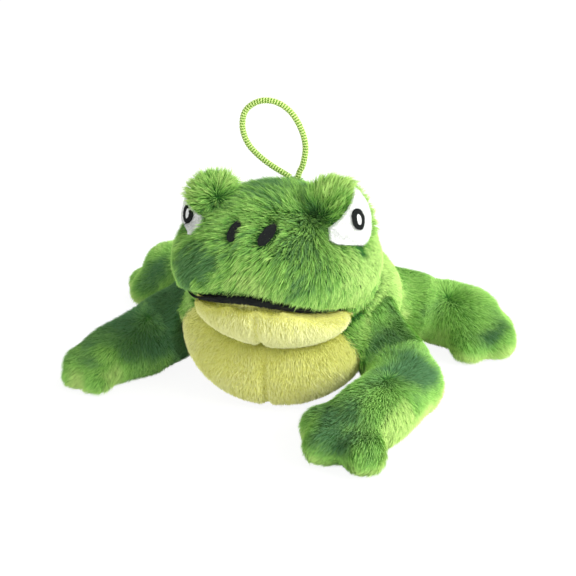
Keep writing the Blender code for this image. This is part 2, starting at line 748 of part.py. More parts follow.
def build_eye(shop, head, side_name, eye, loft, head_grown):
    side, mound_width = eye["side"], eye["mound_width"]
    height_share = (HEAD_HEIGHT + eye["above_head"] - eye["mound_height"] / 2) / HEAD_HEIGHT
    centre = head_place(side * eye["side_share"], MOUND_BACK_SHARE, height_share)
    half_sizes = (mound_width / 2, eye["mound_depth"] / 2, eye["mound_height"] / 2)
    facing = heading(-90 + side * eye["facing_deg"])
    before = centre + facing * mound_width
    before.z = eye["pupil_height"]

    def mound_ball(name, grow):
        return ball_mesh(name, centre, [half + grow for half in half_sizes], 20, 14)

    mound = shop.add(f"eye_mound_{side_name}", mound_ball(f"eye_mound_{side_name}", 0.0), "green_plush", head)
    cut(mound, head_grown)

    def head_layer(name, grow):
        layer = shop.add_cutter(name, loft.mesh(name, grow))
        subdivide(layer)
        return layer

    def patch(name, outline, low, high, material):
        """A piece laid over the mound and the head, between two heights above their surface."""
        prism = shop.add_cutter(
            f"{name}_outline", prism_mesh(f"{name}_outline", outline, before, facing, mound_width)
        )
        piece = shop.add(name, mound_ball(name, high), material, head)
        join(piece, head_layer(f"{name}_over_head", high))
        keep_inside(piece, prism)
        under = shop.add_cutter(f"{name}_under", mound_ball(f"{name}_under", low))
        cut(piece, under, head_layer(f"{name}_under_head", low))
        return piece

    lid, lower = math.radians(eye["lid_deg"]), math.radians(eye["lower_deg"])
    lid_way = (-side * math.sin(lid), math.cos(lid))
    lower_way = (-side * math.sin(lower), -math.cos(lower))
    disc = oval(eye["white_radius"], eye["white_radius"], 28, centre=(-side * eye["white_inward"], 0))
    disc = cut_along(disc, lid_way, eye["lid_distance"])
    disc = cut_along(disc, lower_way, eye["lower_distance"])
    white_top = GAP + EYE_WHITE_THICKNESS
    patch(f"eye_white_{side_name}", disc, GAP, white_top, "white_felt")
    thread_low = white_top + GAP
    thread_high = thread_low + THREAD_THICKNESS
    ring_outline = cut_along(oval(PUPIL_WIDTH / 2, PUPIL_HEIGHT / 2, 16), lid_way, eye["lid_distance"])
    pupil = patch(f"pupil_{side_name}", ring_outline, thread_low, thread_high, "black_thread")
    inner_width = PUPIL_WIDTH / 2 - PUPIL_THREAD_WIDTH
    inner_height = PUPIL_HEIGHT / 2 - PUPIL_THREAD_WIDTH
    window = shop.add_cutter(
        f"pupil_{side_name}_window",
        prism_mesh(
            f"pupil_{side_name}_window",
            oval(inner_width, inner_height, 12),
            before,
            facing,
            mound_width,
        ),
    )
    cut(pupil, window)
    glint_outline = cut_along(oval(inner_width - GAP, inner_height - GAP, 12), lid_way, eye["lid_distance"])
    patch(f"eye_glint_{side_name}", glint_outline, thread_low, thread_high, "white_thread")


def on_head(shop, head, name, loft, head_grown, outline, origin, facing, depth):
    """A stitched piece on the head's skin, inside an outline."""
    prism = shop.add_cutter(f"{name}_outline", prism_mesh(f"{name}_outline", outline, origin, facing, depth))
    piece = shop.add(name, loft.mesh(name, GAP + THREAD_THICKNESS), "black_thread", head)
    subdivide(piece)
    keep_inside(piece, prism)
    cut(piece, head_grown)
    return piece


def build_face(shop, head, loft, head_grown):
    front = Vector((0, -1, 0))
    for side_name, nostril in NOSTRILS.items():
        shift = Vector((NOSTRIL_SIDE_SHIFT + nostril["side"] * NOSTRIL_SPACING / 2, 0, 0))
        origin = head_place(0, 0, NOSTRIL_HEIGHT_SHARE) + shift
        outline = oval(NOSTRIL_WIDTH / 2, nostril["length"] / 2, 12, -nostril["slant_deg"])
        on_head(shop, head, f"nostril_{side_name}", loft, head_grown, outline, origin, front, HEAD_LENGTH / 3)
    edges = [mouth_edge(share, -1) for share in mouth_shares(1)]
    edges += [mouth_edge(share, 1) for share in reversed(mouth_shares(1))]
    origin = head_place(0, 0, MOUTH_HEIGHT_SHARE)
    on_head(shop, head, "mouth_line", loft, head_grown, edges, origin, front, HEAD_LENGTH / 2)


def smooth_route(points, steps):
    """Points on a Catmull-Rom curve through the given ones, which keeps the first and last stretch straight."""
    route = [points[0]]
    for index in range(len(points) - 1):
        p0 = points[max(index - 1, 0)]
        p1, p2 = points[index], points[index + 1]
        p3 = points[min(index + 2, len(points) - 1)]
        for step in range(1, steps + 1):
            t = step / steps
            route.append(
                (
                    p1 * 2
                    + (p2 - p0) * t
                    + (p0 * 2 - p1 * 5 + p2 * 4 - p3) * t**2
                    + (p1 * 3 - p0 - p2 * 3 + p3) * t**3
                )
                / 2
            )
    return route


def build_loop(shop, head, head_grown):
    tab_centre = head_place(*TAB_PLACE_SHARES)
    tilt = Matrix.Rotation(math.radians(-TAB_TILT_DEG), 4, "X")
    tab = shop.add(
        "loop_tab",
        ball_mesh("loop_tab", tab_centre, (TAB_WIDTH / 2, TAB_DEPTH / 2, TAB_HEIGHT), 16, 10, tilt),
        "green_plush",
        head,
    )
    cut(tab, head_grown)
    route = [tab_centre + Vector(point) for point in CORD_ROUTE]
    curve = bpy.data.curves.new("hang_loop", "CURVE")
    curve.dimensions = "3D"
    curve.bevel_depth = CORD_DIAMETER / 2
    curve.bevel_resolution = 2
    curve.use_fill_caps = True
    spline = curve.splines.new("POLY")
    places = smooth_route(route, CORD_POINT_STEPS)
    spline.points.add(len(places) - 1)
    for point, place in zip(spline.points, places):
        point.co = (*place, 1.0)
    shop.add("hang_loop", curve, "lime_cord", head)
    return tab


def centre_over_origin(shop):
    """Moves the whole frog so that the box round it stands centred on the origin."""
    bpy.context.view_layer.update()
    graph = bpy.context.evaluated_depsgraph_get()
    low_x = low_y = math.inf
    high_x = high_y = -math.inf
    for obj in shop.parts.objects:
        if obj.type != "MESH":
            continue
        evaluated = obj.evaluated_get(graph)
        for vertex in evaluated.data.vertices:
            place = evaluated.matrix_world @ vertex.co
            low_x, high_x = min(low_x, place.x), max(high_x, place.x)
            low_y, high_y = min(low_y, place.y), max(high_y, place.y)
    shop.root.location = (-(low_x + high_x) / 2, -(low_y + high_y) / 2, 0)
    bpy.context.view_layer.update()


def main():
    clear_scene()
    shop = Workshop()
    reach = BODY_LENGTH + BODY_WIDTH
    floor = shop.add_cutter(
        "floor", box_mesh("floor", Vector((-reach, -reach, -CUT_OVERRUN)), Vector((reach, reach, 0)))
    )
    halves = {"left": half_space(shop, "left_half", 1), "right": half_space(shop, "right_half", -1)}
    head = shop.empty("head_nod_axis", neck_pivot(), shop.root)
    loft = head_loft()
    head_room = shop.add_cutter("head_room", loft.mesh("head_room", GAP))
    subdivide(head_room)
    nod_room = shop.add_cutter("nod_room", loft.mesh("nod_room", NOD_CLEARANCE))
    subdivide(nod_room)
    filling_room = shop.add_cutter("filling_room", loft.mesh("filling_room", FILLING_CLEARANCE))
    subdivide(filling_room)
    jaw_room = shop.add_cutter("jaw_room", jaw_mesh("jaw_room", GAP))
    clearances = [nod_room, jaw_room]
    for name, sizes in LIMBS.items():
        clearances += build_limb(shop, Limb(name, sizes), floor)
    build_body(shop, floor, halves, clearances, filling_room)
    build_head(shop, head, halves, loft, head_room)
    for side_name, eye in EYES.items():
        build_eye(shop, head, side_name, eye, loft, head_room)
    build_face(shop, head, loft, head_room)
    build_loop(shop, head, head_room)
    centre_over_origin(shop)


main()
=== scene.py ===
"""Dresses the plush frog: stuffed forms under pile, felt eyes, satin stitches, a braided loop."""

import math

import bmesh
import bpy
import numpy as np
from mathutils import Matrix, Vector, noise
from mathutils.bvhtree import BVHTree


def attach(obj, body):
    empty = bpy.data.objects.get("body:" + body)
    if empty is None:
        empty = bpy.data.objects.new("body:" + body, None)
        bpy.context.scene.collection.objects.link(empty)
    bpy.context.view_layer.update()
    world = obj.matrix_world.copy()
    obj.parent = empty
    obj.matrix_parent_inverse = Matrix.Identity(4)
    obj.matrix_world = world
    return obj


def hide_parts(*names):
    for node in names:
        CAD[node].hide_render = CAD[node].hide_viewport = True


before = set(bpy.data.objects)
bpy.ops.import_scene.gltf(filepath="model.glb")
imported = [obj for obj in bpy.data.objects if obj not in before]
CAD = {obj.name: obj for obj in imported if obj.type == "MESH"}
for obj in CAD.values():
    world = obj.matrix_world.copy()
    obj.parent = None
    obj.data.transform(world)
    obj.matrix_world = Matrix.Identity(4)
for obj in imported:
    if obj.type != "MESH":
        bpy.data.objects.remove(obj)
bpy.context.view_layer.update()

MM = 0.001
FROG_SHIFT = Vector((0.688 * MM, -0.190 * MM, 0))
SIDES = ("left", "right")

# Camera, as the photograph was taken
VIEW_TARGET = Vector((0, 0, 40 * MM)) + FROG_SHIFT
VIEW_TURN_DEG = 13
VIEW_RISE_DEG = 22
VIEW_DISTANCE = 650 * MM
SENSOR_WIDTH = 36
LENS_SHARE = 1488 / 576
NEAREST_SEEN = 0.02

# Hanging loop
CORD_DIAMETER = 2.7 * MM
BRAID_INSET = 0.22 * MM
CORE_INSET = 0.2 * MM
TAB_CENTRE = Vector((2.313 * MM, 2.380 * MM, 87.10 * MM))
# The cord's points across and above the tab's centre, in mm
CORD_ROUTE = (
    (-1.5, 3.0), (-3.9, 4.4), (-9.4, 7.5), (-15.0, 11.5), (-19.7, 16.6),
    (-22.0, 23.6), (-20.6, 30.8), (-14.8, 35.2), (-7.6, 35.4), (-1.0, 31.4),
    (3.6, 24.0), (5.4, 16.4), (4.3, 8.8), (2.9, 5.7), (2.1, 3.0),
)
CORD_POINT_STEPS = 4
STITCH_SPACING = 1.15 * MM
STITCHES_ROUND = 7
STITCH_TILT = math.radians(66)

# Stuffing
VOXEL = 3 * MM
LIMB_VOXEL = 2.2 * MM
LEVEL_VOXEL = 2.2 * MM
SMALL_VOXEL = 1.6 * MM
VALLEY_FILL = 4 * MM
VALLEY_ROUNDS = 3
SMOOTHING = 0.5
UPPER_SIDE = (-0.1, 0.4)
SWELL_CAP = 1.2 * MM
START_INSET = 0.5 * MM
PRESSURE = 4
SWELL_FRAMES = 20
SUNK_EDGE = (-2.5 * MM, -0.5 * MM)
HELD_EDGE = 0.6 * MM
FLOOR_LIFT = 0.3 * MM

# Panels: the belly's oval outline on the body, and the middle seam
BELLY_CENTRE = Vector((-4 * MM, -30.3 * MM, 0)) + FROG_SHIFT
BELLY_RADII = Vector((46 * MM, 75 * MM, 52 * MM))
SEAM_X = FROG_SHIFT.x
FRONT_SIDE = (-0.3, 0.2)

# The map that carries each strand's tone and the way along it
STRAND_MAP = "OFBake"


def heading(degrees):
    angle = math.radians(degrees)
    return Vector((math.cos(angle), math.sin(angle), 0))


def eased(value, low, high):
    """0 at the low value, 1 at the high one, eased between."""
    share = np.clip((value - low) / (high - low), 0, 1)
    return share * share * (3 - 2 * share)


def unit(vectors):
    return vectors / np.maximum(np.linalg.norm(vectors, axis=1, keepdims=True), 1e-9)


def everywhere(points):
    return np.ones(len(points))


def belly_share(points):
    inside = (((points - np.array(BELLY_CENTRE)) / np.array(BELLY_RADII)) ** 2).sum(1) < 1
    return inside.astype(float)


def green_share(points):
    return 1 - belly_share(points)


def seam_line(points, normals, width):
    """1 on the middle seam at the front, fading out over a width."""
    near = np.exp(-(((points[:, 0] - SEAM_X) / width) ** 2))
    return near * eased(-normals[:, 1], *FRONT_SIDE)


# Meshes


def new_piece(name, data, *materials):
    obj = bpy.data.objects.new(name, data)
    bpy.context.scene.collection.objects.link(obj)
    for material in materials:
        data.materials.append(material)
    return obj


def discard(obj):
    mesh = obj.data
    bpy.data.objects.remove(obj)
    if mesh.users == 0:
        bpy.data.meshes.remove(mesh)


def mesh_of(bm, name):
    mesh = bpy.data.meshes.new(name)
    bm.to_mesh(mesh)
    bm.free()
    return mesh


def vectors_of(values, field):
    flat = np.empty(len(values) * 3)
    values.foreach_get(field, flat)
    return flat.reshape(-1, 3)


def points_of(mesh):
    return vectors_of(mesh.vertices, "co")


def normals_of(mesh):
    return vectors_of(mesh.vertex_normals, "vector")


def set_points(mesh, points):
    mesh.vertices.foreach_set("co", points.ravel())
    mesh.update()


def push(mesh, distance):
    """Moves every point of a mesh along its normal."""
    set_points(mesh, points_of(mesh) + normals_of(mesh) * distance)


def set_above_floor(mesh, points):
    points[:, 2] = np.maximum(points[:, 2], FLOOR_LIFT)
    set_points(mesh, points)


def evaluated_mesh(obj):
    bpy.context.view_layer.update()
    graph = bpy.context.evaluated_depsgraph_get()
    return bpy.data.meshes.new_from_object(obj.evaluated_get(graph))


def settled(obj):
    """The object with its modifiers applied and removed."""
    mesh, old = evaluated_mesh(obj), obj.data
    obj.modifiers.clear()
    obj.data = mesh
    bpy.data.meshes.remove(old)
    return obj


def add_remesh(obj, voxel):
    remesh = obj.modifiers.new("remesh", "REMESH")
    remesh.mode = "VOXEL"
    remesh.voxel_size = voxel


def add_smoothing(obj, rounds):
    soften = obj.modifiers.new("soften", "SMOOTH")
    soften.factor = SMOOTHING
    soften.iterations = rounds


def add_division(obj, kind, levels):
    divide = obj.modifiers.new("divide", "SUBSURF")
    divide.subdivision_type = kind
    divide.levels = divide.render_levels = levels


def joined_copy(name, nodes):
    """One mesh from copies of CAD nodes, with their doubles merged."""
    bm = bmesh.new()
    for node in nodes:
        bm.from_mesh(CAD[node].data)
    bmesh.ops.remove_doubles(bm, verts=bm.verts, dist=0.001 * MM)
    return new_piece(name, mesh_of(bm, name))


def keep_outside(mesh):
    """Removes the small shells that a remesh leaves inside."""
    bm = bmesh.new()
    bm.from_mesh(mesh)
    left = set(bm.verts)
    shells = []
    while left:
        start = left.pop()
        shell, front = {start}, [start]
        while front:
            for edge in front.pop().link_edges:
                for vertex in edge.verts:
                    if vertex in left:
                        left.remove(vertex)
                        shell.add(vertex)
                        front.append(vertex)
        shells.append(shell)
    largest = max(shells, key=len)
    bmesh.ops.delete(bm, geom=[v for v in bm.verts if v not in largest], context="VERTS")
    bmesh.ops.recalc_face_normals(bm, faces=bm.faces)
    bm.to_mesh(mesh)
    bm.free()


def tree_of(*objects):
    """A search tree over these objects' faces."""
    points, faces = [], []
    for obj in objects:
        first = len(points)
        points += [v.co.copy() for v in obj.data.vertices]
        faces += [[first + i for i in p.vertices] for p in obj.data.polygons]
    return BVHTree.FromPolygons(points, faces)


def cad_tree(*nodes):
    return tree_of(*[CAD[node] for node in nodes])


def distances(points, tree, reach):
    """How far each point lies from the tree, below zero inside it, and the nearest place."""
    away = np.full(len(points), reach)
    nearest = points + reach
    for index, point in enumerate(points):
        place, normal, _, distance = tree.find_nearest(Vector(point), reach)
        if place is not None:
            inside = (Vector(point) - place).dot(normal) < 0
            away[index] = -distance if inside else distance
            nearest[index] = place
    return away, nearest


def draw_in(points, tree, share, depth=0.0):
    """Draws points by their share of the way to a depth under the nearest place of a tree."""
    for index in np.flatnonzero(share > 0):
        place, normal, _, _ = tree.find_nearest(Vector(points[index]))
        points[index] += (np.array(place - normal * depth) - points[index]) * share[index]


# Stuffed forms


def bridged_skin(forms, voxel, rounds, fill, plump=0.0):
    """A search tree over one smooth skin round these forms, with their grooves filled."""
    bm = bmesh.new()
    for form in forms:
        bm.from_mesh(form.data)
    skin = new_piece("skin", mesh_of(bm, "skin"))
    push(skin.data, fill)
    add_remesh(skin, voxel)
    add_smoothing(skin, rounds)
    settled(skin)
    push(skin.data, plump - fill)
    tree = tree_of(skin)
    discard(skin)
    return tree


def fill_valleys(pad, depth, voxel):
    """Fills the valleys between the toes on a pad's upper side, as stuffing does."""
    tree = bridged_skin([pad], voxel, VALLEY_ROUNDS, depth)
    points = points_of(pad.data)
    draw_in(points, tree, eased(normals_of(pad.data)[:, 2], *UPPER_SIDE))
    set_points(pad.data, points)


def swell(pad):
    """Blows a pad up as cloth under pressure, by no more than the cap."""
    scene = bpy.context.scene
    rest = points_of(pad.data)
    push(pad.data, -START_INSET)
    cloth = pad.modifiers.new("cloth", "CLOTH")
    cloth.settings.use_pressure = True
    cloth.settings.uniform_pressure_force = PRESSURE
    cloth.settings.effector_weights.gravity = 0
    cloth.point_cache.frame_start = 1
    cloth.point_cache.frame_end = SWELL_FRAMES
    for number in range(1, SWELL_FRAMES + 1):
        scene.frame_set(number)
    evaluated = pad.evaluated_get(bpy.context.evaluated_depsgraph_get())
    moved = points_of(evaluated.data) - rest
    pad.modifiers.clear()
    scene.frame_set(1)
    length = np.maximum(np.linalg.norm(moved, axis=1, keepdims=True), 1e-9)
    set_points(pad.data, rest + moved * np.minimum(1, SWELL_CAP / length))


def stuffed_form(name, nodes, voxel, rounds, fill=0.0):
    """A pad in the place of these nodes, blown up a little under pressure as stuffing does."""
    pad = joined_copy(name, nodes)
    add_remesh(pad, voxel)
    settled(pad)
    keep_outside(pad.data)
    swell(pad)
    if fill:
        fill_valleys(pad, fill, voxel)
    add_smoothing(pad, rounds)
    add_division(pad, "CATMULL_CLARK", 1)
    settled(pad)
    set_above_floor(pad.data, points_of(pad.data))
    pad.data.shade_smooth()
    return pad


def level_pads(first, second, reach, fill, rounds, plump, where=everywhere):
    """Brings two pads onto one smooth skin beside their seam, with the groove there filled."""
    skin = bridged_skin([pads[first], pads[second]], LEVEL_VOXEL, rounds, fill, plump)
    old = {first: tree_of(pads[first]), second: tree_of(pads[second])}
    for name, other in ((first, second), (second, first)):
        points = points_of(pads[name].data)
        away, _ = distances(points, old[other], reach)
        near = (1 - eased(away, reach / 3, reach)) * eased(away, *SUNK_EDGE)
        draw_in(points, skin, near * where(points))
        set_above_floor(pads[name].data, points)


def hold_in(name, nodes, depth=0.35 * MM, reach=3 * MM):
    """Holds a pad's surface just under the pieces stitched to it, as their stitches do."""
    points = points_of(pads[name].data)
    skin = cad_tree(*PADS[name][1])
    for node in nodes:
        away, _ = distances(points, cad_tree(node), reach)
        draw_in(points, skin, 1 - eased(np.abs(away), HELD_EDGE, reach), depth)
    set_points(pads[name].data, points)


def pinch_seam(name, depth, width):
    """Draws a pad's skin in along the middle seam of its yellow panels."""
    mesh = pads[name].data
    points, normals = points_of(mesh), normals_of(mesh)
    near = seam_line(points, normals, width) * eased(points[:, 2], 0.5 * MM, 4 * MM)
    if name == "body_plush":
        near *= belly_share(points)
    set_points(mesh, points - normals * (depth * near)[:, None])


# Nodes


class Value:
    """A socket's value. Plain arithmetic on it adds the nodes that work it out."""

    def __init__(self, socket):
        self.socket = socket
        self.tree = socket.id_data

    def to(self, operation, *others, kind="ShaderNodeMath"):
        return add_node(self.tree, kind, (self, *others), operation=operation)[0]

    def vector(self, operation, *others):
        return self.to(operation, *others, kind="ShaderNodeVectorMath")

    def ramp(self, low, high, to_low=0.0, to_high=1.0):
        values = (self, low, high, to_low, to_high)
        return add_node(
            self.tree, "ShaderNodeMapRange", values, interpolation_type="SMOOTHSTEP"
        )["Result"]

    def feed(self, node, key):
        self.tree.links.new(self.socket, node.inputs[key])

    def __add__(self, other):
        return self.to("ADD", other)

    def __sub__(self, other):
        return self.to("SUBTRACT", other)

    def __mul__(self, other):
        return self.to("MULTIPLY", other)

    def __truediv__(self, other):
        return self.to("DIVIDE", other)

    def __rsub__(self, other):
        return add_node(self.tree, "ShaderNodeMath", (other, self), operation="SUBTRACT")[0]

    def __rtruediv__(self, other):
        return add_node(self.tree, "ShaderNodeMath", (other, self), operation="DIVIDE")[0]


class Outputs:
    """A node's outputs as values, by name or by number."""

    def __init__(self, node):
        self.node = node

    def __getitem__(self, key):
        return Value(self.node.outputs[key])


def add_node(tree, kind, values=(), **settings):
    """Adds a node and fills its inputs, in their order or by name or number."""
    node = tree.nodes.new(kind)
    for key, value in settings.items():
        setattr(node, key, value)
    for key, value in values.items() if isinstance(values, dict) else enumerate(values):
        if isinstance(value, Value):
            value.feed(node, key)
        else:
            node.inputs[key].default_value = value
    return Outputs(node)


def mix_colour(tree, share, first, second, blend="MIX"):
    values = {0: share, 6: first, 7: second}
    return add_node(tree, "ShaderNodeMix", values, data_type="RGBA", blend_type=blend)[2]


SOCKET_KINDS = {float: "Float", int: "Int", tuple: "Vector"}


def new_group(name, kind, inputs, outputs):
    """A node group, its inputs' values and its output node. An input is a kind or a plain value."""
    tree = bpy.data.node_groups.new(name, kind)
    sockets = tree.interface
    for label, value in inputs.items():
        kind = "NodeSocket" + (value if isinstance(value, str) else SOCKET_KINDS[type(value)])
        socket = sockets.new_socket(label, in_out="INPUT", socket_type=kind)
        if not isinstance(value, str):
            socket.default_value = value
    for label, kind in outputs.items():
        sockets.new_socket(label, in_out="OUTPUT", socket_type="NodeSocket" + kind)
    given = tree.nodes.new("NodeGroupInput")
    return tree, Outputs(given), tree.nodes.new("NodeGroupOutput")


# Materials


def strand_group():
    """A strand's colour from its root, darkened as painted shade deep in the pile, to its tip,
    lightened as painted light; and a deep tint or a light colour by its tone, which is partly the
    pile's own uneven colour and partly painted light and shade.
    """
    inputs = dict.fromkeys(STRAND_COLOURS, "Color")
    tree, given, result = new_group(
        "strand_tone", "ShaderNodeTree", {**inputs, "Light Share": 0.6}, {"Color": "Color"}
    )
    place = add_node(tree, "ShaderNodeUVMap", uv_map=STRAND_MAP)[0]
    parts = add_node(tree, "ShaderNodeSeparateXYZ", (place,))
    tone, along = parts[0], parts[1]
    low = mix_colour(tree, along.ramp(0.05, 0.6), given["Root"], given["Middle"])
    full = mix_colour(tree, along.ramp(0.4, 0.95), low, given["Tip"])
    deep = mix_colour(tree, 1.0, full, given["Deep Tint"], "MULTIPLY")
    shaded = mix_colour(tree, tone.ramp(0.0, 0.5), deep, full)
    lift = tone.ramp(0.5, 1.0) * along.ramp(0.0, 1.0, 0.4, 1.0) * given["Light Share"]
    mix_colour(tree, lift, shaded, given["Light"]).feed(result, "Color")
    return tree


def pattern_group(name, pattern):
    """Two tones of a cloth in a pattern, and the pattern's height."""
    inputs = {"Deep": "Color", "Light": "Color", "Scale": 1000.0}
    outputs = {"Color": "Color", "Height": "Float"}
    tree, given, result = new_group(name, "ShaderNodeTree", inputs, outputs)
    place = add_node(tree, "ShaderNodeTexCoord")["Object"]
    share, height = pattern(tree, place, given["Scale"])
    mix_colour(tree, share, given["Deep"], given["Light"]).feed(result, "Color")
    height.feed(result, "Height")
    return tree


def knitted(tree, place, scale):
    """The fine fuzz of the knitted ground under the pile."""
    values = {"Vector": place, "Scale": scale, "Detail": 3.0}
    fuzz = add_node(tree, "ShaderNodeTexNoise", values)["Fac"]
    broad = add_node(tree, "ShaderNodeTexNoise", {"Vector": place, "Scale": 120.0})["Fac"]
    return (fuzz * 0.7 + broad * 0.3).ramp(0.35, 0.65), fuzz


def threaded(tree, place, scale):
    """Fine threads side by side."""
    values = {"Vector": place, "Scale": scale, "Distortion": 2.0, "Detail": 1.0}
    lines = add_node(tree, "ShaderNodeTexWave", values, bands_direction="DIAGONAL")["Fac"]
    return lines, lines


STRAND_COLOURS = ("Root", "Middle", "Tip", "Deep Tint", "Light")
STRAND_GROUP = strand_group()
GROUND_GROUP = pattern_group("pile_ground", knitted)
THREAD_GROUP = pattern_group("thread_lines", threaded)


def new_material(name, roughness, sheen=0.0, sheen_tint=(1, 1, 1)):
    material = bpy.data.materials.new(name)
    material.use_nodes = True
    shader = material.node_tree.nodes["Principled BSDF"]
    values = {
        "Roughness": roughness,
        "Specular IOR Level": 0.25,
        "Sheen Weight": sheen,
        "Sheen Roughness": 0.6,
        "Sheen Tint": (*sheen_tint, 1),
    }
    for key, value in values.items():
        shader.inputs[key].default_value = value
    return material, material.node_tree, shader


def pile_material(name, *colours, light_share=0.6, sheen=0.3):
    """A strand's material, from its colours in the order of STRAND_COLOURS."""
    material, tree, shader = new_material(name, 0.8, sheen, colours[2])
    values = {label: (*colour, 1) for label, colour in zip(STRAND_COLOURS, colours)}
    values["Light Share"] = light_share
    group = add_node(tree, "ShaderNodeGroup", values, node_tree=STRAND_GROUP)
    group["Color"].feed(shader, "Base Color")
    return material


def cloth_material(
    name, deep, light, group=GROUND_GROUP, scale=900, rough=0.95, bump=0.3, sheen=0.0
):
    """A cloth's material, with its bump in mm."""
    material, tree, shader = new_material(name, rough, sheen, light)
    values = {"Deep": (*deep, 1), "Light": (*light, 1), "Scale": scale}
    cloth = add_node(tree, "ShaderNodeGroup", values, node_tree=group)
    values = {"Strength": 0.5, "Distance": bump * MM, "Height": cloth["Height"]}
    cloth["Color"].feed(shader, "Base Color")
    add_node(tree, "ShaderNodeBump", values)["Normal"].feed(shader, "Normal")
    return material


def thread_material(name, deep, light, rough, scale=2500):
    return cloth_material(name, deep, light, THREAD_GROUP, scale, rough, 0.1)


# The piles' roots are painted dark, as shade deep in the pile, and their tips light, as painted
# light; the deep tint and the light colour carry painted shade and light as well as the pile's own
# uneven tone.
LIME = (0.72, 0.92, 0.30)
GREEN_PILE = pile_material(
    "green_pile",
    (0.04, 0.18, 0.028), (0.12, 0.385, 0.048), (0.44, 0.78, 0.17), (0.34, 0.43, 0.72), LIME,
)
GREEN_NAP = pile_material(
    "green_nap",
    (0.10, 0.32, 0.050), (0.18, 0.480, 0.075), (0.42, 0.76, 0.17), (0.27, 0.36, 0.70), LIME,
    light_share=0.8,
)
YELLOW_PILE = pile_material(
    "yellow_pile",
    (0.74, 0.74, 0.16), (0.88, 0.90, 0.24), (0.95, 0.96, 0.38), (0.84, 0.86, 0.70),
    (0.985, 0.99, 0.64),
    sheen=0.2,
)
FELT_PILE = pile_material(
    "felt_nap",
    (0.78, 0.80, 0.77), (0.90, 0.91, 0.89), (0.97, 0.975, 0.965), (0.94, 0.94, 0.94), (1, 1, 1),
    light_share=0.3,
    sheen=0.2,
)
# Each ground has about the colour of its pile's roots; the green ones are painted dark, as shade
# under the pile.
GREEN_GROUND = cloth_material("green_ground", (0.012, 0.06, 0.012), (0.035, 0.15, 0.02))
NAP_GROUND = cloth_material("nap_ground", (0.05, 0.19, 0.03), (0.09, 0.30, 0.045))
YELLOW_GROUND = cloth_material("yellow_ground", (0.72, 0.71, 0.18), (0.86, 0.86, 0.28))
WHITE_FELT = cloth_material(
    "white_felt", (0.80, 0.82, 0.79), (0.96, 0.97, 0.95), scale=1500, bump=0.2, sheen=0.3
)
BLACK_THREAD = thread_material(
    "black_thread", (0.002, 0.003, 0.003), (0.010, 0.013, 0.012), 0.85
)
WHITE_THREAD = thread_material("white_thread", (0.70, 0.72, 0.70), (0.95, 0.95, 0.94), 0.5)
CORD_CORE = thread_material("cord_core", (0.14, 0.32, 0.03), (0.24, 0.48, 0.05), 0.7)
CORD_STITCH = thread_material("cord_stitch", (0.64, 0.88, 0.22), (0.86, 0.98, 0.43), 0.6, 3000)


# Geometry trees

UP = (0.0, 0.0, 1.0)
# A strand's shape: how it narrows and bends over, how far its tip droops and its root sinks in
STRAND_TAPER = 2.5
STRAND_BEND = 1.7
STRAND_DROOP = -0.35
ROOT_DEPTH = 0.06


def geometry_group(name, inputs):
    """A group that takes a geometry, these inputs and a material, and gives a geometry."""
    inputs = {"Geometry": "Geometry", **inputs, "Material": "Material"}
    return new_group(name, "GeometryNodeTree", inputs, {"Geometry": "Geometry"})


def add_tree(obj, tree, values):
    """Gives an object a Geometry Nodes modifier with these inputs."""
    modifier = obj.modifiers.new(tree.name, "NODES")
    modifier.node_group = tree
    for item in tree.interface.items_tree:
        if item.item_type == "SOCKET" and item.in_out == "INPUT" and item.name in values:
            modifier[item.identifier] = values[item.name]


def named(tree, label, data_type="FLOAT"):
    node = add_node(
        tree, "GeometryNodeInputNamedAttribute", {"Name": label}, data_type=data_type
    )
    return node["Attribute"]


def stored(tree, geometry, label, value, data_type="FLOAT", domain="POINT"):
    values = {"Geometry": geometry, "Name": label, "Value": value}
    kinds = {"data_type": data_type, "domain": domain}
    return add_node(tree, "GeometryNodeStoreNamedAttribute", values, **kinds)["Geometry"]


def random_between(tree, low, high, seed):
    values = {2: low, 3: high, "Seed": seed}
    return add_node(tree, "FunctionNodeRandomValue", values, data_type="FLOAT")[1]


def combined(tree, *parts):
    return add_node(tree, "ShaderNodeCombineXYZ", parts)[0]


def about(tree, axis, angle):
    return add_node(tree, "FunctionNodeAxisAngleToRotation", {"Axis": axis, "Angle": angle})[0]


def turned(tree, rotation, turn):
    """A rotation, turned further in its own frame."""
    values = {"Rotation": rotation, "Rotate By": turn}
    return add_node(tree, "FunctionNodeRotateRotation", values, rotation_space="LOCAL")[0]


def laid_along(tree, normal, way):
    """The rotation that stands up along a normal and faces a way."""
    align = "FunctionNodeAlignRotationToVector"
    upright = add_node(tree, align, {"Vector": normal}, axis="Z")[0]
    values = {"Rotation": upright, "Vector": way}
    return add_node(tree, align, values, axis="Y", pivot_axis="Z")[0]


def real_copies(tree, points, piece, rotation, scale=(1, 1, 1)):
    """A piece set on each point, as real geometry."""
    values = {"Points": points, "Instance": piece, "Rotation": rotation, "Scale": scale}
    copies = add_node(tree, "GeometryNodeInstanceOnPoints", values)[0]
    return add_node(tree, "GeometryNodeRealizeInstances", (copies,))[0]


def bead(tree, divisions):
    values = {"Radius": 0.5, "Subdivisions": divisions}
    return add_node(tree, "GeometryNodeMeshIcoSphere", values)["Mesh"]


def end_group(tree, geometry, size, result):
    values = {"Geometry": geometry, "Material": size["Material"]}
    add_node(tree, "GeometryNodeSetMaterial", values)[0].feed(result, 0)
    return tree


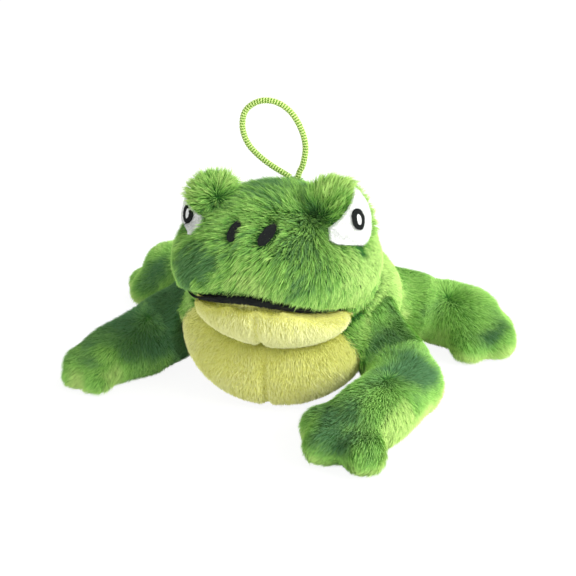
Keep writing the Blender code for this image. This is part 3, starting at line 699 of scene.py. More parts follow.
def strand_blade(tree, slant):
    """A flat strand one unit long that curves over, ends in a point and stands aslant."""
    mesh = add_node(tree, "GeometryNodeMeshGrid", {"Vertices X": 2, "Vertices Y": 3})["Mesh"]
    place = add_node(tree, "GeometryNodeInputPosition")[0]
    parts = add_node(tree, "ShaderNodeSeparateXYZ", (place,))
    mesh = stored(tree, mesh, "across", parts[0] + 0.5)
    mesh = stored(tree, mesh, "along", parts[1] + 0.5)
    along, across = named(tree, "along"), named(tree, "across")
    side = (across - 0.5) * (1.0 - along.to("POWER", STRAND_TAPER))
    over = side * slant + along.to("POWER", STRAND_BEND)
    rise = along * along * STRAND_DROOP + along - ROOT_DEPTH
    values = {"Geometry": mesh, "Position": combined(tree, side, over, rise)}
    blade = add_node(tree, "GeometryNodeSetPosition", values)[0]
    values = {"Geometry": blade, "Distance": 0.001}
    return add_node(tree, "GeometryNodeMergeByDistance", values)[0]


def pile_group():
    """Grows strands on a ground that carries the attributes comb, cover, pile, streak and tone."""
    inputs = {
        "Density": 4e6,
        "Length": 4.5 * MM,
        "Width": 0.3 * MM,
        "Lean": 0.9,
        "Clump Size": 3.5 * MM,
        "Clump Strength": 0.8,
        "Swirl Size": 14 * MM,
        "Swirl Strength": 0.5,
        "Streak Size": 1.8 * MM,
        "Streak Strength": 0.2,
        "Tone Spread": 0.15,
        "Seed": 1,
    }
    tree, size, result = geometry_group("pile_strands", inputs)
    density = size["Density"] * named(tree, "cover")
    values = {"Mesh": size["Geometry"], "Density": density, "Seed": size["Seed"]}
    roots = add_node(tree, "GeometryNodeDistributePointsOnFaces", values)
    place = add_node(tree, "GeometryNodeInputPosition")[0]

    def noise_at(place, kind):
        values = {"Vector": place, "Scale": 1.0 / size[f"{kind} Size"], "Detail": 1.0}
        return add_node(tree, "ShaderNodeTexNoise", values)

    def drift(kind, shift):
        """A vector and a value that wander over the surface, to part the pile into tufts."""
        wander = noise_at(place.vector("ADD", (shift, shift, shift)), kind)
        centred = wander["Color"].vector("SUBTRACT", (0.5, 0.5, 0.5))
        values = {0: centred, "Scale": size[f"{kind} Strength"] * 4.0}
        vector = add_node(tree, "ShaderNodeVectorMath", values, operation="SCALE")[0]
        return vector, wander["Fac"]

    tuft, _ = drift("Clump", 0.31)
    swirl, patch = drift("Swirl", 0.77)
    comb = named(tree, "comb", "FLOAT_VECTOR").vector("ADD", tuft.vector("ADD", swirl))
    streak = (noise_at(named(tree, "streak", "FLOAT_VECTOR"), "Streak")["Fac"] - 0.5) * 4.0
    streak = streak * size["Streak Strength"]
    length = size["Length"] * named(tree, "pile") * random_between(tree, 0.7, 1.3, 3)
    length = length * (streak * 0.5 + 1.0)
    pull = add_node(tree, "ShaderNodeVectorMath", (comb,), operation="LENGTH")["Value"]
    pull = add_node(tree, "ShaderNodeClamp", {"Value": pull, "Min": 0.35, "Max": 1.25})[0]
    lean = size["Lean"] * (pull * random_between(tree, 0.6, 1.12, 11)) * length
    width = size["Width"] * random_between(tree, 0.75, 1.25, 5)
    width = width * random_between(tree, -1.0, 1.0, 9).to("SIGN")
    tone = named(tree, "tone") + random_between(tree, -1.0, 1.0, 7) * size["Tone Spread"]
    tone = tone + (patch - 0.5) * (size["Tone Spread"] * 4.0)
    tone = (streak + tone).to("MINIMUM", 1.0).to("MAXIMUM", 0.0)
    points = stored(tree, roots["Points"], "strand_tone", tone)
    blade = strand_blade(tree, size["Width"] / (size["Lean"] * size["Length"]))
    turn = laid_along(tree, roots["Normal"], comb)
    strands = real_copies(tree, points, blade, turn, combined(tree, width, lean, length))
    u = named(tree, "strand_tone") * 0.95 + named(tree, "across") * 0.04
    v = named(tree, "along") * 0.98 + 0.01
    mapped = stored(tree, strands, STRAND_MAP, combined(tree, u, v), "FLOAT2", "CORNER")
    return end_group(tree, mapped, size, result)


def braid_group():
    """Sets rings of slanted stitches along a curve, each turned half a stitch from the last."""
    inputs = {
        "Spacing": STITCH_SPACING,
        "Radius": CORD_DIAMETER / 2 - BRAID_INSET,
        "Stitch Length": 1.35 * MM,
        "Stitch Width": 0.64 * MM,
        "Stitches Round": STITCHES_ROUND,
    }
    tree, size, result = geometry_group("cord_stitches", inputs)
    values = {"Curve": size["Geometry"], "Length": size["Spacing"]}
    along = add_node(tree, "GeometryNodeCurveToPoints", values, mode="LENGTH")
    width, count = size["Stitch Width"], size["Stitches Round"]
    scale = combined(tree, width * 0.8, width, size["Stitch Length"])
    values = {"Vertices": count, "Radius": size["Radius"]}
    ring = add_node(tree, "GeometryNodeMeshCircle", values)["Mesh"]
    index = add_node(tree, "GeometryNodeInputIndex")[0]
    round_ring = about(tree, UP, index / count * (2 * math.pi))
    slanted = turned(tree, round_ring, about(tree, (1, 0, 0), STITCH_TILT))
    row = real_copies(tree, ring, bead(tree, 2), slanted, scale)
    turn = turned(tree, along["Rotation"], about(tree, UP, index * (math.pi / count)))
    rows = real_copies(tree, along["Points"], row, turn)
    smooth = add_node(tree, "GeometryNodeSetShadeSmooth", (rows,))[0]
    return end_group(tree, smooth, size, result)


def satin_group():
    """Lays short threads side by side over a surface, all along one direction."""
    inputs = {
        "Spacing": 0.3 * MM,
        "Thread Length": 2 * MM,
        "Thread Width": 0.4 * MM,
        "Direction": UP,
        "Seed": 1,
    }
    tree, size, result = geometry_group("satin_threads", inputs)
    gap, width = size["Spacing"], size["Thread Width"]
    values = {
        "Mesh": size["Geometry"],
        "Distance Min": gap,
        "Density Max": 4.0 / (gap * gap),
        "Seed": size["Seed"],
    }
    poisson = {"distribute_method": "POISSON"}
    roots = add_node(tree, "GeometryNodeDistributePointsOnFaces", values, **poisson)
    turn = laid_along(tree, roots["Normal"], size["Direction"])
    turn = turned(tree, turn, about(tree, UP, random_between(tree, -0.14, 0.14, 5)))
    length = size["Thread Length"] * random_between(tree, 0.7, 1.2, 3)
    scale = combined(tree, width, length, width * 0.8)
    threads = real_copies(tree, roots["Points"], bead(tree, 1), turn, scale)
    smooth = add_node(tree, "GeometryNodeSetShadeSmooth", (threads,))[0]
    return end_group(tree, smooth, size, result)


PILE_TREE = pile_group()
BRAID_TREE = braid_group()
SATIN_TREE = satin_group()


# Camera and hanging loop


def place_camera():
    turn, rise = math.radians(VIEW_TURN_DEG), math.radians(VIEW_RISE_DEG)
    flat = math.cos(rise)
    back = Vector((math.sin(turn) * flat, -math.cos(turn) * flat, math.sin(rise)))
    data = bpy.data.cameras.new("camera")
    data.sensor_width = SENSOR_WIDTH
    data.lens = SENSOR_WIDTH * LENS_SHARE
    data.clip_start = NEAREST_SEEN
    camera = new_piece("camera", data)
    camera.location = VIEW_TARGET + back * VIEW_DISTANCE
    camera.rotation_euler = back.to_track_quat("Z", "Y").to_euler()
    bpy.context.scene.camera = camera


def smooth_route(points, steps):
    """Points on a curve through the given ones, straight at both ends."""
    route = [points[0]]
    for index in range(len(points) - 1):
        p0, p1 = points[max(index - 1, 0)], points[index]
        p2, p3 = points[index + 1], points[min(index + 2, len(points) - 1)]
        for step in range(1, steps + 1):
            t = step / steps
            square = (p0 * 2 - p1 * 5 + p2 * 4 - p3) * t**2
            cube = (p1 * 3 - p0 - p2 * 3 + p3) * t**3
            route.append((p1 * 2 + (p2 - p0) * t + square + cube) / 2)
    return route


def make_loop():
    points = [TAB_CENTRE + Vector((x / 1000, 0, z / 1000)) for x, z in CORD_ROUTE]
    route = smooth_route(points, CORD_POINT_STEPS)
    curve = bpy.data.curves.new("hang_loop_cord", "CURVE")
    curve.dimensions = "3D"
    spline = curve.splines.new("POLY")
    spline.points.add(len(route) - 1)
    for point, place in zip(spline.points, route):
        point.co = (*place, 1)
    source = new_piece("hang_loop_braid", curve.copy())
    add_tree(source, BRAID_TREE, {"Material": CORD_STITCH})
    mesh = evaluated_mesh(source)
    bpy.data.objects.remove(source)
    braid = new_piece("hang_loop_braid", mesh)
    curve.bevel_depth = CORD_DIAMETER / 2 - CORE_INSET
    curve.bevel_resolution = 3
    curve.use_fill_caps = True
    cord = new_piece("hang_loop_cord", curve, CORD_CORE)
    for piece in (cord, braid):
        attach(piece, "head")
    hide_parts("hang_loop")


place_camera()
make_loop()


# Stuffed forms, each in the place of its CAD nodes

PADS = {
    "body_plush": ("torso", ("back_skin", "belly_panel_left", "belly_panel_right", "body_filling")),
    "head_plush": ("head", ("head_skin", "head_filling")),
    "jaw_plush": ("head", ("jaw_panel_left", "jaw_panel_right", "jaw_filling")),
    "eye_mound_plush_left": ("head", ("eye_mound_left",)),
    "eye_mound_plush_right": ("head", ("eye_mound_right",)),
}
for side in SIDES:
    for part in ("upper_arm", "forearm", "thigh", "foot"):
        limb = f"{part}_{side}"
        PADS[f"{limb}_plush"] = (limb, (f"{limb}_skin", f"{limb}_filling"))

pads = {}
for name, (body, nodes) in PADS.items():
    if "mound" in name:
        pads[name] = stuffed_form(name, nodes, SMALL_VOXEL, 2)
    elif body in ("torso", "head"):
        pads[name] = stuffed_form(name, nodes, VOXEL, 4)
    else:
        fill = VALLEY_FILL if body.startswith(("forearm", "foot")) else 0.0
        pads[name] = stuffed_form(name, nodes, LIMB_VOXEL, 6, fill)


def beside_neck(points):
    """The cheeks and shoulders, where the head's skin runs on into the body's."""
    share = eased(np.abs(points[:, 0] - SEAM_X), 22 * MM, 32 * MM)
    share *= eased(points[:, 1], -50 * MM, -40 * MM)
    return share * (1 - eased(points[:, 2], 66 * MM, 74 * MM))


# Pads that run on into each other, with how far beside their seam they are levelled, the groove
# that is filled, the rounds of smoothing, how plump the seam gets, and where
LEVELS = {}
for side in SIDES:
    LEVELS[f"upper_arm_{side}_plush", f"forearm_{side}_plush"] = (13 * MM, 4 * MM, 14, 0.7 * MM)
    LEVELS[f"thigh_{side}_plush", f"foot_{side}_plush"] = (10 * MM, 1.5 * MM, 8, 0.4 * MM)
for part in ("upper_arm", "thigh"):
    for side in SIDES:
        level = (14 * MM, 5 * MM, 10, 0.3 * MM, green_share)
        LEVELS[f"{part}_{side}_plush", "body_plush"] = level
LEVELS["head_plush", "body_plush"] = (16 * MM, 6 * MM, 10, 0.3 * MM, beside_neck)

# How near another pad the pile begins and is whole: beside a levelled seam, and in an open crease
LEVEL_EDGE = (-0.3 * MM, 0.3 * MM)
OPEN_EDGE = (0.4 * MM, 1.6 * MM)
CREASE_REACH = 7 * MM
# How much darker the pile is painted in an open crease, as painted shade
CREASE_PAINTED_SHADE = 0.4


def near_boxes(first, second, reach):
    a, b = points_of(first.data), points_of(second.data)
    return (a.min(0) - reach < b.max(0)).all() and (b.min(0) - reach < a.max(0)).all()


def hidden_share(name):
    """How far the pile can stand beside the other pads, 0 to 1, and how far into each open crease a
    place lies, where the pile gets painted shade.
    """
    points = points_of(pads[name].data)
    cover, crease = np.ones(len(points)), np.zeros(len(points))
    for other, tree in trees.items():
        if other == name or not near_boxes(pads[name], pads[other], CREASE_REACH):
            continue
        away, _ = distances(points, tree, CREASE_REACH)
        levelled = (name, other) in LEVELS or (other, name) in LEVELS
        low, high = LEVEL_EDGE if levelled else OPEN_EDGE
        cover = np.minimum(cover, eased(away, low, high))
        if not levelled:
            crease = np.maximum(crease, 1 - eased(away, high, CREASE_REACH))
    return cover, crease


trees = {name: tree_of(pad) for name, pad in pads.items()}
hidden = {name: hidden_share(name) for name in pads}
for (first, second), level in LEVELS.items():
    level_pads(first, second, *level)
hold_in("head_plush", ("nostril_left", "nostril_right", "eye_white_left", "eye_white_right"))
hold_in("head_plush", ("mouth_line",), 0.8 * MM, 4 * MM)
hold_in("jaw_plush", ("mouth_line",), 0.5 * MM, 3 * MM)
for side in SIDES:
    hold_in(f"eye_mound_plush_{side}", (f"eye_white_{side}",))
pinch_seam("body_plush", 1.2 * MM, 1.6 * MM)
pinch_seam("jaw_plush", 1.0 * MM, 1.4 * MM)


# Pile

GREEN_SIZES = {
    "Density": 5.6e6,
    "Length": 3.2 * MM,
    "Width": 0.26 * MM,
    "Lean": 0.7,
    "Clump Strength": 0.4,
    "Streak Strength": 0.16,
    "Seed": 1,
}
HEAD_SIZES = {
    **GREEN_SIZES,
    "Length": 4.0 * MM,
    "Lean": 0.9,
    "Clump Strength": 0.25,
    "Swirl Strength": 0.35,
    "Streak Size": 2.2 * MM,
    "Streak Strength": 0.34,
    "Tone Spread": 0.18,
    "Seed": 11,
}
BROW_SIZES = {
    **HEAD_SIZES,
    "Length": 5.6 * MM,
    "Lean": 0.5,
    "Clump Size": 2.2 * MM,
    "Clump Strength": 0.9,
    "Seed": 21,
}
LIMB_SIZES = {
    **GREEN_SIZES,
    "Density": 6.5e6,
    "Length": 3.0 * MM,
    "Width": 0.30 * MM,
    "Lean": 0.98,
    "Clump Strength": 0.12,
    "Swirl Strength": 0.2,
    "Streak Strength": 0.06,
    "Tone Spread": 0.06,
}
YELLOW_SIZES = {
    "Density": 7e6,
    "Length": 2.4 * MM,
    "Width": 0.22 * MM,
    "Lean": 0.7,
    "Clump Strength": 0.3,
    "Swirl Strength": 0.3,
    "Streak Strength": 0.12,
    "Tone Spread": 0.12,
    "Seed": 2,
}
FELT_SIZES = {
    "Density": 14e6,
    "Length": 0.9 * MM,
    "Width": 0.12 * MM,
    "Lean": 0.9,
    "Clump Strength": 0.5,
    "Swirl Strength": 1.0,
    "Tone Spread": 0.2,
    "Seed": 51,
}
GROUND_LABELS = ("comb", "pile", "tone", "cover", "streak")
STRAND_LABELS = ("across", "along", "strand_tone")
# The pile is painted lighter where the surface turns away from this way, down the flanks, as
# painted rim light
PAINTED_RIM_AXIS = np.array((0.15, -0.45, 0.88))
CLOUD_SIZE = 11 * MM
CLOUD_TONE = 0.22
PATCH_SPAN = 9 * MM
PATCH_DRIFT = 7 * MM
# Without a seed, the clock shifts the noise vectors from run to run
NOISE_SEED = 1
noise.seed_set(NOISE_SEED)
# Under the frog, near the floor, the pile is pressed thin and short
PRESSED_COVER = 0.65
PRESSED_PILE = 0.55
# How much shorter it is on the middle seam and the cheeks, and how much longer on the crown
SEAM_SHORT = 0.6
CHEEK_SHORT = 0.45
CROWN_LONG = 0.3
# Lighter and darker patches of the pile, partly the nap brushed other ways and partly painted light
# and painted shade: the centre and the radius in mm, and the change
NAP_AND_PAINTED_LIGHT_PATCHES = {
    "head_plush": (
        (21, -35, 87, 8, -0.55), (20, -48, 81, 8, -0.25), (22, -56, 73, 9, -0.20),
        (20, -61, 65, 6, -0.25), (-22, -58, 72, 11, -0.70), (-30, -54, 62, 10, -0.60),
        (-6, -20, 91, 16, -0.55), (3, -62, 72, 10, 0.30), (0, -60, 62, 9, 0.25),
        (-2, -54, 81, 5, 0.10), (26, -48, 77, 4, 0.30), (34, -42, 74, 5, 0.25),
        (44, -30, 60, 14, 0.42), (44, -16, 72, 12, 0.35),
    ),
    "eye_mound_plush_left": ((18, -32, 87, 7, -0.60), (30, -20, 96, 8, 0.25)),
    "eye_mound_plush_right": ((-19, -30, 88, 4, -0.40), (-30, -22, 94, 7, 0.25)),
    "body_plush": ((43, 18, 45, 16, 0.45), (40, -8, 48, 12, 0.35), (37, -30, 26, 7, -0.25)),
    "upper_arm_left_plush": ((45, -24, 26, 14, -0.28), (60, -18, 14, 9, 0.15)),
    "forearm_left_plush": (
        (42, -79, 20, 15, -0.72), (50, -56, 30, 13, -0.12), (64, -70, 11, 14, 1.00),
        (72, -50, 6, 10, 0.30), (61, -40, 26, 14, -0.62), (30, -92, 8, 7, 0.35),
    ),
    "upper_arm_right_plush": ((-50, -20, 26, 16, -0.25),),
    "forearm_right_plush": (
        (-60, -26, 24, 13, -0.18), (-86, -30, 18, 8, -0.15), (-68, -38, 7, 10, 0.75),
        (-80, -37, 6, 9, 0.65), (-97, -26, 8, 9, 0.40),
    ),
    "thigh_left_plush": (
        (61, 32, 28, 8, -0.35), (61, 31, 10, 10, -0.40), (50, 28, 30, 8, 0.15),
    ),
    "foot_left_plush": (
        (60, 32, 28, 7, -0.35), (60, 31, 10, 8, -0.40), (88, 29, 17, 10, -0.40),
        (72, 36, 28, 7, 0.15), (96, 24, 8, 7, 0.30),
    ),
    "foot_right_plush": (
        (-80, 58, 18, 10, -0.45), (-76, 71, 29, 7, 0.35), (-92, 56, 8, 6, 0.20),
    ),
}
# Around each stitched piece: where the pile is cleared and how far it is shortened and turned away
STITCHED = {"bare": 0.9 * MM, "reach": 3.5 * MM, "push": 0.4, "shorten": 0.5}
MOUTH_MARK = {"bare": 2.3 * MM, "reach": 6.5 * MM, "push": 0.0, "shorten": 0.72}
EYE_MARK = {"bare": 1.0 * MM, "reach": 2.5 * MM, "push": -0.5, "shorten": 0.5}
MOUTH_POINTS = points_of(CAD["mouth_line"].data)
MOUTH_NEIGHBOURS = 16
LINE_DROP = 0.5 * MM
LIP_DROP = 1.5 * MM

grown = []


def write_attribute(mesh, label, values):
    vector = np.ndim(values) == 2
    attribute = mesh.attributes.get(label)
    if attribute is None:
        attribute = mesh.attributes.new(label, "FLOAT_VECTOR" if vector else "FLOAT", "POINT")
    flat = np.ascontiguousarray(values, np.float32).ravel()
    attribute.data.foreach_set("vector" if vector else "value", flat)


def grow_pile(ground, body, name, material, sizes):
    """A mesh of strands over the ground, pressed up where they would go through the floor."""
    strands = new_piece(name, ground.data.copy())
    add_tree(strands, PILE_TREE, {**sizes, "Material": material})
    mesh = settled(strands).data
    for label in STRAND_LABELS + GROUND_LABELS:
        if label in mesh.attributes:
            mesh.attributes.remove(mesh.attributes[label])
    set_above_floor(mesh, points_of(mesh))
    mesh.shade_smooth()
    grown.append((strands, body, material))


def across(vectors, normals):
    """The vectors without what they have along the normals, one unit long."""
    return unit(vectors - normals * (vectors * normals).sum(1, keepdims=True))


def comb_flow(points, whorl, spread, steady):
    """Away from a whorl, with a steady pull added."""
    away = unit(points - np.array(whorl))
    return unit(away * spread + np.array(steady))


def body_flow(points):
    back = comb_flow(points, (0, -30 * MM, 75 * MM), 1.0, (0, 0.3, -0.5))
    belly = comb_flow(points, (SEAM_X, -40 * MM, 40 * MM), 0.5, (0, 0, -1.0))
    share = belly_share(points)[:, None]
    return back * (1 - share) + belly * share


def tone_of(points, normals, base, painted_rim, patches):
    """A base tone, painted lighter down the flanks as painted rim light, with soft clouds, and
    patches that are partly nap and partly painted light and shade.
    """
    tone = base + painted_rim * (1 - eased(normals @ PAINTED_RIM_AXIS, 0.1, 0.75))
    tone += CLOUD_TONE * np.array([noise.noise(Vector(point) / CLOUD_SIZE) for point in points])
    drift = np.array([noise.noise_vector(Vector(point) / PATCH_SPAN) for point in points])
    moved = points + PATCH_DRIFT * drift
    for *centre, radius, change in patches:
        away = np.linalg.norm(moved - np.array(centre) * MM, axis=1) / (radius * MM)
        tone += change * np.exp(-(away**2))
    return tone


def part_round(points, comb, cover, pile, marks):
    """Clears the pile on small CAD pieces, and shortens and turns it round them."""
    for node, mark in marks.items():
        bare, reach = mark["bare"], mark["reach"]
        away, nearest = distances(points, cad_tree(node), reach)
        away = np.abs(away)
        near = 1 - eased(away, bare, reach)
        comb += unit(points - nearest) * (near * mark["push"])[:, None]
        pile *= 1 - mark["shorten"] * near
        cover *= eased(away, bare * 0.6, bare)


def dress(
    name,
    flow,
    pieces,
    tone=0.5,
    painted_rim=0.0,
    marks=None,
    thin=None,
    streaks=None,
    crease_painted_shade=CREASE_PAINTED_SHADE,
):
    """Combs a pad and grows its pile. The pieces are (name, material, where it grows, sizes)."""
    pad = pads[name]
    mesh = pad.data
    points, normals = points_of(mesh), normals_of(mesh)
    cover, crease = hidden[name]
    pile = thin(points, normals) if thin else np.ones(len(points))
    comb = across(flow(points), normals)
    part_round(points, comb, cover, pile, marks or {})
    pressed = eased(-normals[:, 2], 0.5, 0.9) * (1 - eased(points[:, 2], 0.5 * MM, 4 * MM))
    cover *= 1 - PRESSED_COVER * pressed
    pile *= 1 - PRESSED_PILE * pressed
    tones = tone_of(points, normals, tone, painted_rim, NAP_AND_PAINTED_LIGHT_PATCHES.get(name, ()))
    write_attribute(mesh, "comb", comb)
    write_attribute(mesh, "pile", pile)
    # Open creases are painted darker, as painted shade
    write_attribute(mesh, "tone", tones - crease_painted_shade * crease)
    write_attribute(mesh, "streak", streaks(points) if streaks else points)
    for piece_name, material, where, sizes in pieces:
        write_attribute(mesh, "cover", cover * where(points))
        grow_pile(pad, PADS[name][0], piece_name, material, sizes)
    for label in GROUND_LABELS:
        mesh.attributes.remove(mesh.attributes[label])


def below_mouth(points):
    """1 for the places of the head under the mouth's line, where the yellow begins."""
    gaps = np.abs(points[:, None, 0] - MOUTH_POINTS[None, :, 0])
    nearest = gaps.argsort(axis=1)[:, :MOUTH_NEIGHBOURS]
    line = MOUTH_POINTS[nearest, 2].mean(axis=1) - LINE_DROP
    low, high = MOUTH_POINTS.min(0), MOUTH_POINTS.max(0)
    inside = (points[:, 0] > low[0]) & (points[:, 0] < high[0]) & (points[:, 1] < high[1])
    return (inside & (points[:, 2] < line)).astype(float)


def above_mouth(points):
    return 1 - below_mouth(points)


def clear_of_mouth(points):
    """The yellow under the mouth's line, with none of its pile behind the line itself."""
    return below_mouth(points + np.array((0, 0, LIP_DROP)))


def halves(name, material, share, sizes):
    """The left and right half of a place, as pieces to grow."""
    pieces = []
    for side, sign in (("left", 1), ("right", -1)):
        def where(points, sign=sign):
            return share(points) * ((points[:, 0] - SEAM_X) * sign > 0)

        pieces.append((f"{name}_{side}", material, where, sizes))
    return pieces


def seam_thin(points, normals):
    """Short along the middle seam at the front."""
    return 1 - SEAM_SHORT * seam_line(points, normals, 1.6 * MM)


def head_thin(points, normals):
    """Short on the cheeks, and longest on the crown."""
    cheek = eased(np.abs(normals[:, 0]), 0.6, 0.95)
    cheek *= 1 - eased(points[:, 2], 75 * MM, 85 * MM)
    crown = eased(points[:, 2], 86 * MM, 90 * MM)
    return (1 - CHEEK_SHORT * cheek) * (1 + CROWN_LONG * crown)


def brow_thin(points, normals):
    """Longest at the sides of a brow, which makes it broad."""
    return 0.9 + 0.4 * np.abs(normals[:, 0])


def fanned(whorl, ring=34 * MM, stretch=0.22):
    """Places that make streaks run away from a whorl."""
    def places(points):
        out = points - np.array(whorl)
        away = np.linalg.norm(out, axis=1, keepdims=True)
        return unit(out) * (ring + away * stretch)

    return places


def lengthwise(way, stretch=0.25):
    """Places that make streaks run along one way."""
    along = np.array(way) / np.linalg.norm(way)

    def places(points):
        return points - (1 - stretch) * (points @ along)[:, None] * along

    return places


dress(
    "body_plush",
    body_flow,
    halves("back_pile", GREEN_PILE, green_share, GREEN_SIZES)
    + halves("belly_pile", YELLOW_PILE, belly_share, YELLOW_SIZES),
    thin=seam_thin,
    tone=0.6,
    painted_rim=0.15,
)
HEAD_WHORL = (18 * MM, -34 * MM, 90 * MM)
dress(
    "head_plush",
    lambda points: comb_flow(points, HEAD_WHORL, 1.0, (-0.15, 0, -0.35)),
    halves("head_pile", GREEN_PILE, above_mouth, HEAD_SIZES)
    + [("lip_pile", YELLOW_PILE, clear_of_mouth, {**YELLOW_SIZES, "Seed": 13})],
    marks={
        "nostril_left": STITCHED,
        "nostril_right": STITCHED,
        "mouth_line": MOUTH_MARK,
        "eye_white_left": EYE_MARK,
        "eye_white_right": EYE_MARK,
    },
    thin=head_thin,
    painted_rim=0.15,
    streaks=fanned(HEAD_WHORL),
    crease_painted_shade=0.15,
)
dress(
    "jaw_plush",
    lambda points: comb_flow(points, (SEAM_X, -30 * MM, 62 * MM), 0.6, (0, 0, -1.0)),
    halves("jaw_pile", YELLOW_PILE, everywhere, {**YELLOW_SIZES, "Seed": 12}),
    # The jaw's pile takes the lightest tone, painted light against the shade under the snout
    tone=1.0,
    marks={"mouth_line": MOUTH_MARK},
    thin=seam_thin,
)
BROW_WHORLS = {"left": (19 * MM, -36 * MM, 86 * MM), "right": (-22 * MM, -30 * MM, 90 * MM)}
for side, whorl in BROW_WHORLS.items():
    dress(
        f"eye_mound_plush_{side}",
        lambda points: comb_flow(points, whorl, 1.0, (0, 0, 0.15)),
        [(f"eye_mound_pile_{side}", GREEN_PILE, everywhere, BROW_SIZES)],
        tone=0.78,
        marks={f"eye_white_{side}": EYE_MARK},
        thin=brow_thin,
        painted_rim=0.2,
        streaks=fanned(whorl, 12 * MM),
    )

# How each limb's pile is combed, as a heading in degrees, with a pull down its flanks
LIMB_WAYS = {
    "upper_arm_left": -50,
    "forearm_left": -110,
    "upper_arm_right": -140,
    "forearm_right": -136,
    "thigh_left": 12,
    "foot_left": -22,
    "thigh_right": 138,
    "foot_right": 174,
}
DOWN_PULL = -0.45
# The pile on each paw fans out from here, more so the further away
FAN_REACH = 11 * MM
PAW_WHORLS = {
    "forearm_left": (50 * MM, -62 * MM, 24 * MM),
    "forearm_right": (-66 * MM, -28 * MM, 26 * MM),
    "foot_left": (76 * MM, 32 * MM, 24 * MM),
    "foot_right": (-76 * MM, 60 * MM, 24 * MM),
}
# The right arm's pile is painted darker, as painted shade on the side away from the key lamp, and
# gets little painted rim light
LIMB_TONES_AND_SHADE = {"upper_arm_right": 0.05, "forearm_right": 0.14, "upper_arm_left": 0.38}
LIMB_PAINTED_RIM = 0.42
SHADED_ARM_PAINTED_RIM = 0.05


def limb_flow(points):
    """Along the limb that is being dressed, and out from its paw's whorl if it has one."""
    if whorl:
        return (points - np.array(whorl)) / FAN_REACH + pull
    return np.tile(pull, (len(points), 1))


for seed, (limb, degrees) in enumerate(LIMB_WAYS.items(), 31):
    way = heading(degrees)
    pull = np.array((way.x, way.y, DOWN_PULL))
    whorl = PAW_WHORLS.get(limb)
    dress(
        f"{limb}_plush",
        limb_flow,
        [(f"{limb}_pile", GREEN_NAP, everywhere, {**LIMB_SIZES, "Seed": seed})],
        tone=LIMB_TONES_AND_SHADE.get(limb, 0.5),
        painted_rim=SHADED_ARM_PAINTED_RIM if limb.endswith("arm_right") else LIMB_PAINTED_RIM,
        streaks=fanned(whorl) if whorl else lengthwise(pull),
    )


def nap(node, piece_name, material, sizes, base_nodes):
    """Short pile on the outer side of a CAD node's own shape, away from the nodes it lies on."""
    ground = joined_copy(piece_name + "_ground", [node])
    add_division(ground, "SIMPLE", 2)
    mesh = settled(ground).data
    points, normals = points_of(mesh), normals_of(mesh)
    away, _ = distances(points, cad_tree(*base_nodes), 5 * MM)
    write_attribute(mesh, "cover", (away > 0.8 * MM).astype(float))
    write_attribute(mesh, "pile", np.ones(len(points)))
    write_attribute(mesh, "tone", np.full(len(points), 0.5))
    write_attribute(mesh, "comb", across(np.tile((0.0, 0.0, -1.0), (len(points), 1)), normals))
    write_attribute(mesh, "streak", points)
    grow_pile(ground, "head", piece_name, material, sizes)
    discard(ground)


for side in SIDES:
    base = (f"eye_mound_{side}", "head_skin")
    nap(f"eye_white_{side}", f"eye_felt_nap_{side}", FELT_PILE, FELT_SIZES, base)
nap("loop_tab", "loop_tab_pile", GREEN_PILE, {**GREEN_SIZES, "Seed": 61}, ("head_skin",))


# Satin stitches

STITCH_SIDE = 0.7 * MM
# The way and the length in mm of each stitched piece's threads
SATIN = {
    "mouth_line": ((0.15, 0.0, 1.0), 3.0),
    "nostril_left": ((0.9, 0.0, 0.5), 1.1),
    "nostril_right": ((0.9, 0.0, 0.5), 1.1),
    "pupil_left": ((1.0, 0.0, 0.3), 1.1),
    "pupil_right": ((1.0, 0.0, 0.3), 1.1),
}
STITCHED_SKIN = cad_tree("head_skin", "eye_mound_left", "eye_mound_right")


def satin(node, way, length, seed):
    """Threads side by side over the outer face of a stitched CAD piece."""
    cloth = joined_copy(f"{node}_threads", [node])
    bm = bmesh.new()
    bm.from_mesh(cloth.data)
    inner = []
    for face in bm.faces:
        _, normal, _, distance = STITCHED_SKIN.find_nearest(face.calc_center_median())
        if distance < STITCH_SIDE or face.normal.dot(normal) < 0.5:
            inner.append(face)
    bmesh.ops.delete(bm, geom=inner, context="FACES")
    bm.to_mesh(cloth.data)
    bm.free()
    values = {"Thread Length": length, "Direction": way, "Seed": seed, "Material": BLACK_THREAD}
    add_tree(cloth, SATIN_TREE, values)
    settled(cloth)
    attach(cloth, "head")


for seed, (node, (way, length)) in enumerate(SATIN.items(), 71):
    satin(node, way, length * MM, seed)


# Grounds, small pieces and what each piece rides on

MOUTH_TREE = cad_tree("mouth_line")
NOSTRIL_TREE = cad_tree("nostril_left", "nostril_right")
MOUTH_EDGE = 1.6 * MM
NOSTRIL_EDGE = 0.6 * MM
EDGE_REACH = 3 * MM


def head_ground(points):
    """Green, yellow under the mouth, and black behind the stitched pieces."""
    mouth, _ = distances(points, MOUTH_TREE, EDGE_REACH)
    nostrils, _ = distances(points, NOSTRIL_TREE, EDGE_REACH)
    stitched = (mouth < MOUTH_EDGE) | (nostrils < NOSTRIL_EDGE)
    return np.where(stitched, 2, below_mouth(points))


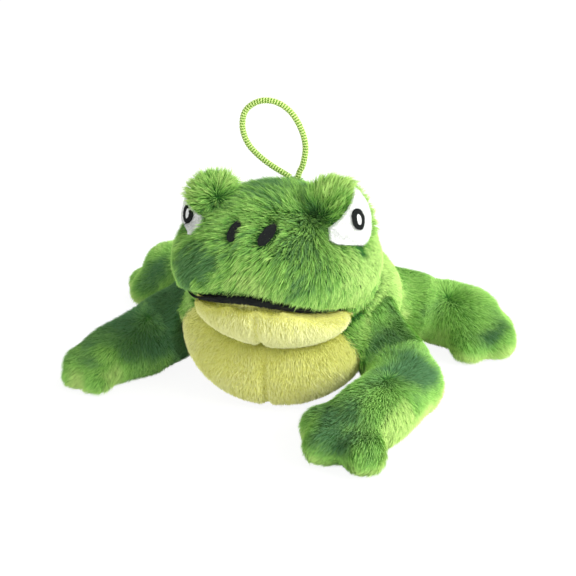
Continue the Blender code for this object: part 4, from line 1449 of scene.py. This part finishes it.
# Each pad's grounds, and which of them a place gets
GROUNDS = {
    "body_plush": ((GREEN_GROUND, YELLOW_GROUND), belly_share),
    "head_plush": ((GREEN_GROUND, YELLOW_GROUND, BLACK_THREAD), head_ground),
    "jaw_plush": ((YELLOW_GROUND,), None),
    "eye_mound_plush_left": ((GREEN_GROUND,), None),
    "eye_mound_plush_right": ((GREEN_GROUND,), None),
}
for name, pad in pads.items():
    body, nodes = PADS[name]
    mesh = pad.data
    materials, share = GROUNDS.get(name, ((NAP_GROUND,), None))
    mesh.materials.clear()
    for material in materials:
        mesh.materials.append(material)
    if share:
        centres = np.array([p.center for p in mesh.polygons])
        mesh.polygons.foreach_set("material_index", share(centres).astype(np.int32))
    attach(pad, body)
    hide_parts(*nodes)

for strands, body, material in grown:
    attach(strands, body)

NODE_FINISHES = {
    "eye_white": WHITE_FELT,
    "eye_glint": WHITE_THREAD,
    "pupil": BLACK_THREAD,
    "nostril": BLACK_THREAD,
    "mouth_line": BLACK_THREAD,
    "loop_tab": GREEN_GROUND,
}
for node, obj in CAD.items():
    for start, material in NODE_FINISHES.items():
        if node.startswith(start):
            for material_slot in obj.material_slots:
                material_slot.material = material


# Floor and light

FLOOR_SIZE = 6
FLOOR_COLOUR = (0.86, 0.86, 0.86, 1)
WHITE = (1, 1, 1, 1)
GLOW_STRENGTH = 1.12
GLOW_SHARE = 0.82
SKY_STRENGTH = 0.55
SEEN_STRENGTH = 0.45
# Each lamp's place, power and size
LAMPS = {
    "key_lamp": ((1.0, -0.25, 0.6), 15, 0.7),
    "back_lamp": ((0.3, 0.8, 0.8), 5, 0.6),
    "fill_lamp": ((-0.1, -1.1, 0.4), 3, 0.9),
}


def make_floor():
    material, tree, shader = new_material("white_floor", 0.9)
    shader.inputs["Base Color"].default_value = FLOOR_COLOUR
    values = {"Color": WHITE, "Strength": GLOW_STRENGTH}
    glow = add_node(tree, "ShaderNodeEmission", values)[0]
    share = add_node(tree, "ShaderNodeLightPath")["Is Camera Ray"] * GLOW_SHARE
    mixed = add_node(tree, "ShaderNodeMixShader", (share, Value(shader.outputs[0]), glow))[0]
    mixed.feed(tree.nodes["Material Output"], "Surface")
    bm = bmesh.new()
    bmesh.ops.create_grid(bm, x_segments=2, y_segments=2, size=FLOOR_SIZE)
    new_piece("floor", mesh_of(bm, "floor"), material)


def make_world():
    world = bpy.data.worlds.new("studio")
    bpy.context.scene.world = world
    world.use_nodes = True
    background = world.node_tree.nodes["Background"]
    path = add_node(world.node_tree, "ShaderNodeLightPath")
    seen = path["Is Camera Ray"].to("MAXIMUM", path["Is Glossy Ray"])
    seen = seen.to("MAXIMUM", path["Is Transmission Ray"])
    (seen * SEEN_STRENGTH + SKY_STRENGTH).feed(background, "Strength")
    background.inputs["Color"].default_value = WHITE


def add_lamp(name, place, power, size):
    data = bpy.data.lights.new(name, "AREA")
    data.energy = power
    data.size = size
    lamp = new_piece(name, data)
    lamp.location = place
    lamp.rotation_euler = (Vector(place) - VIEW_TARGET).to_track_quat("Z", "Y").to_euler()


make_floor()
make_world()
for name, lamp in LAMPS.items():
    add_lamp(name, *lamp)
bpy.context.scene.view_settings.view_transform = "Standard"
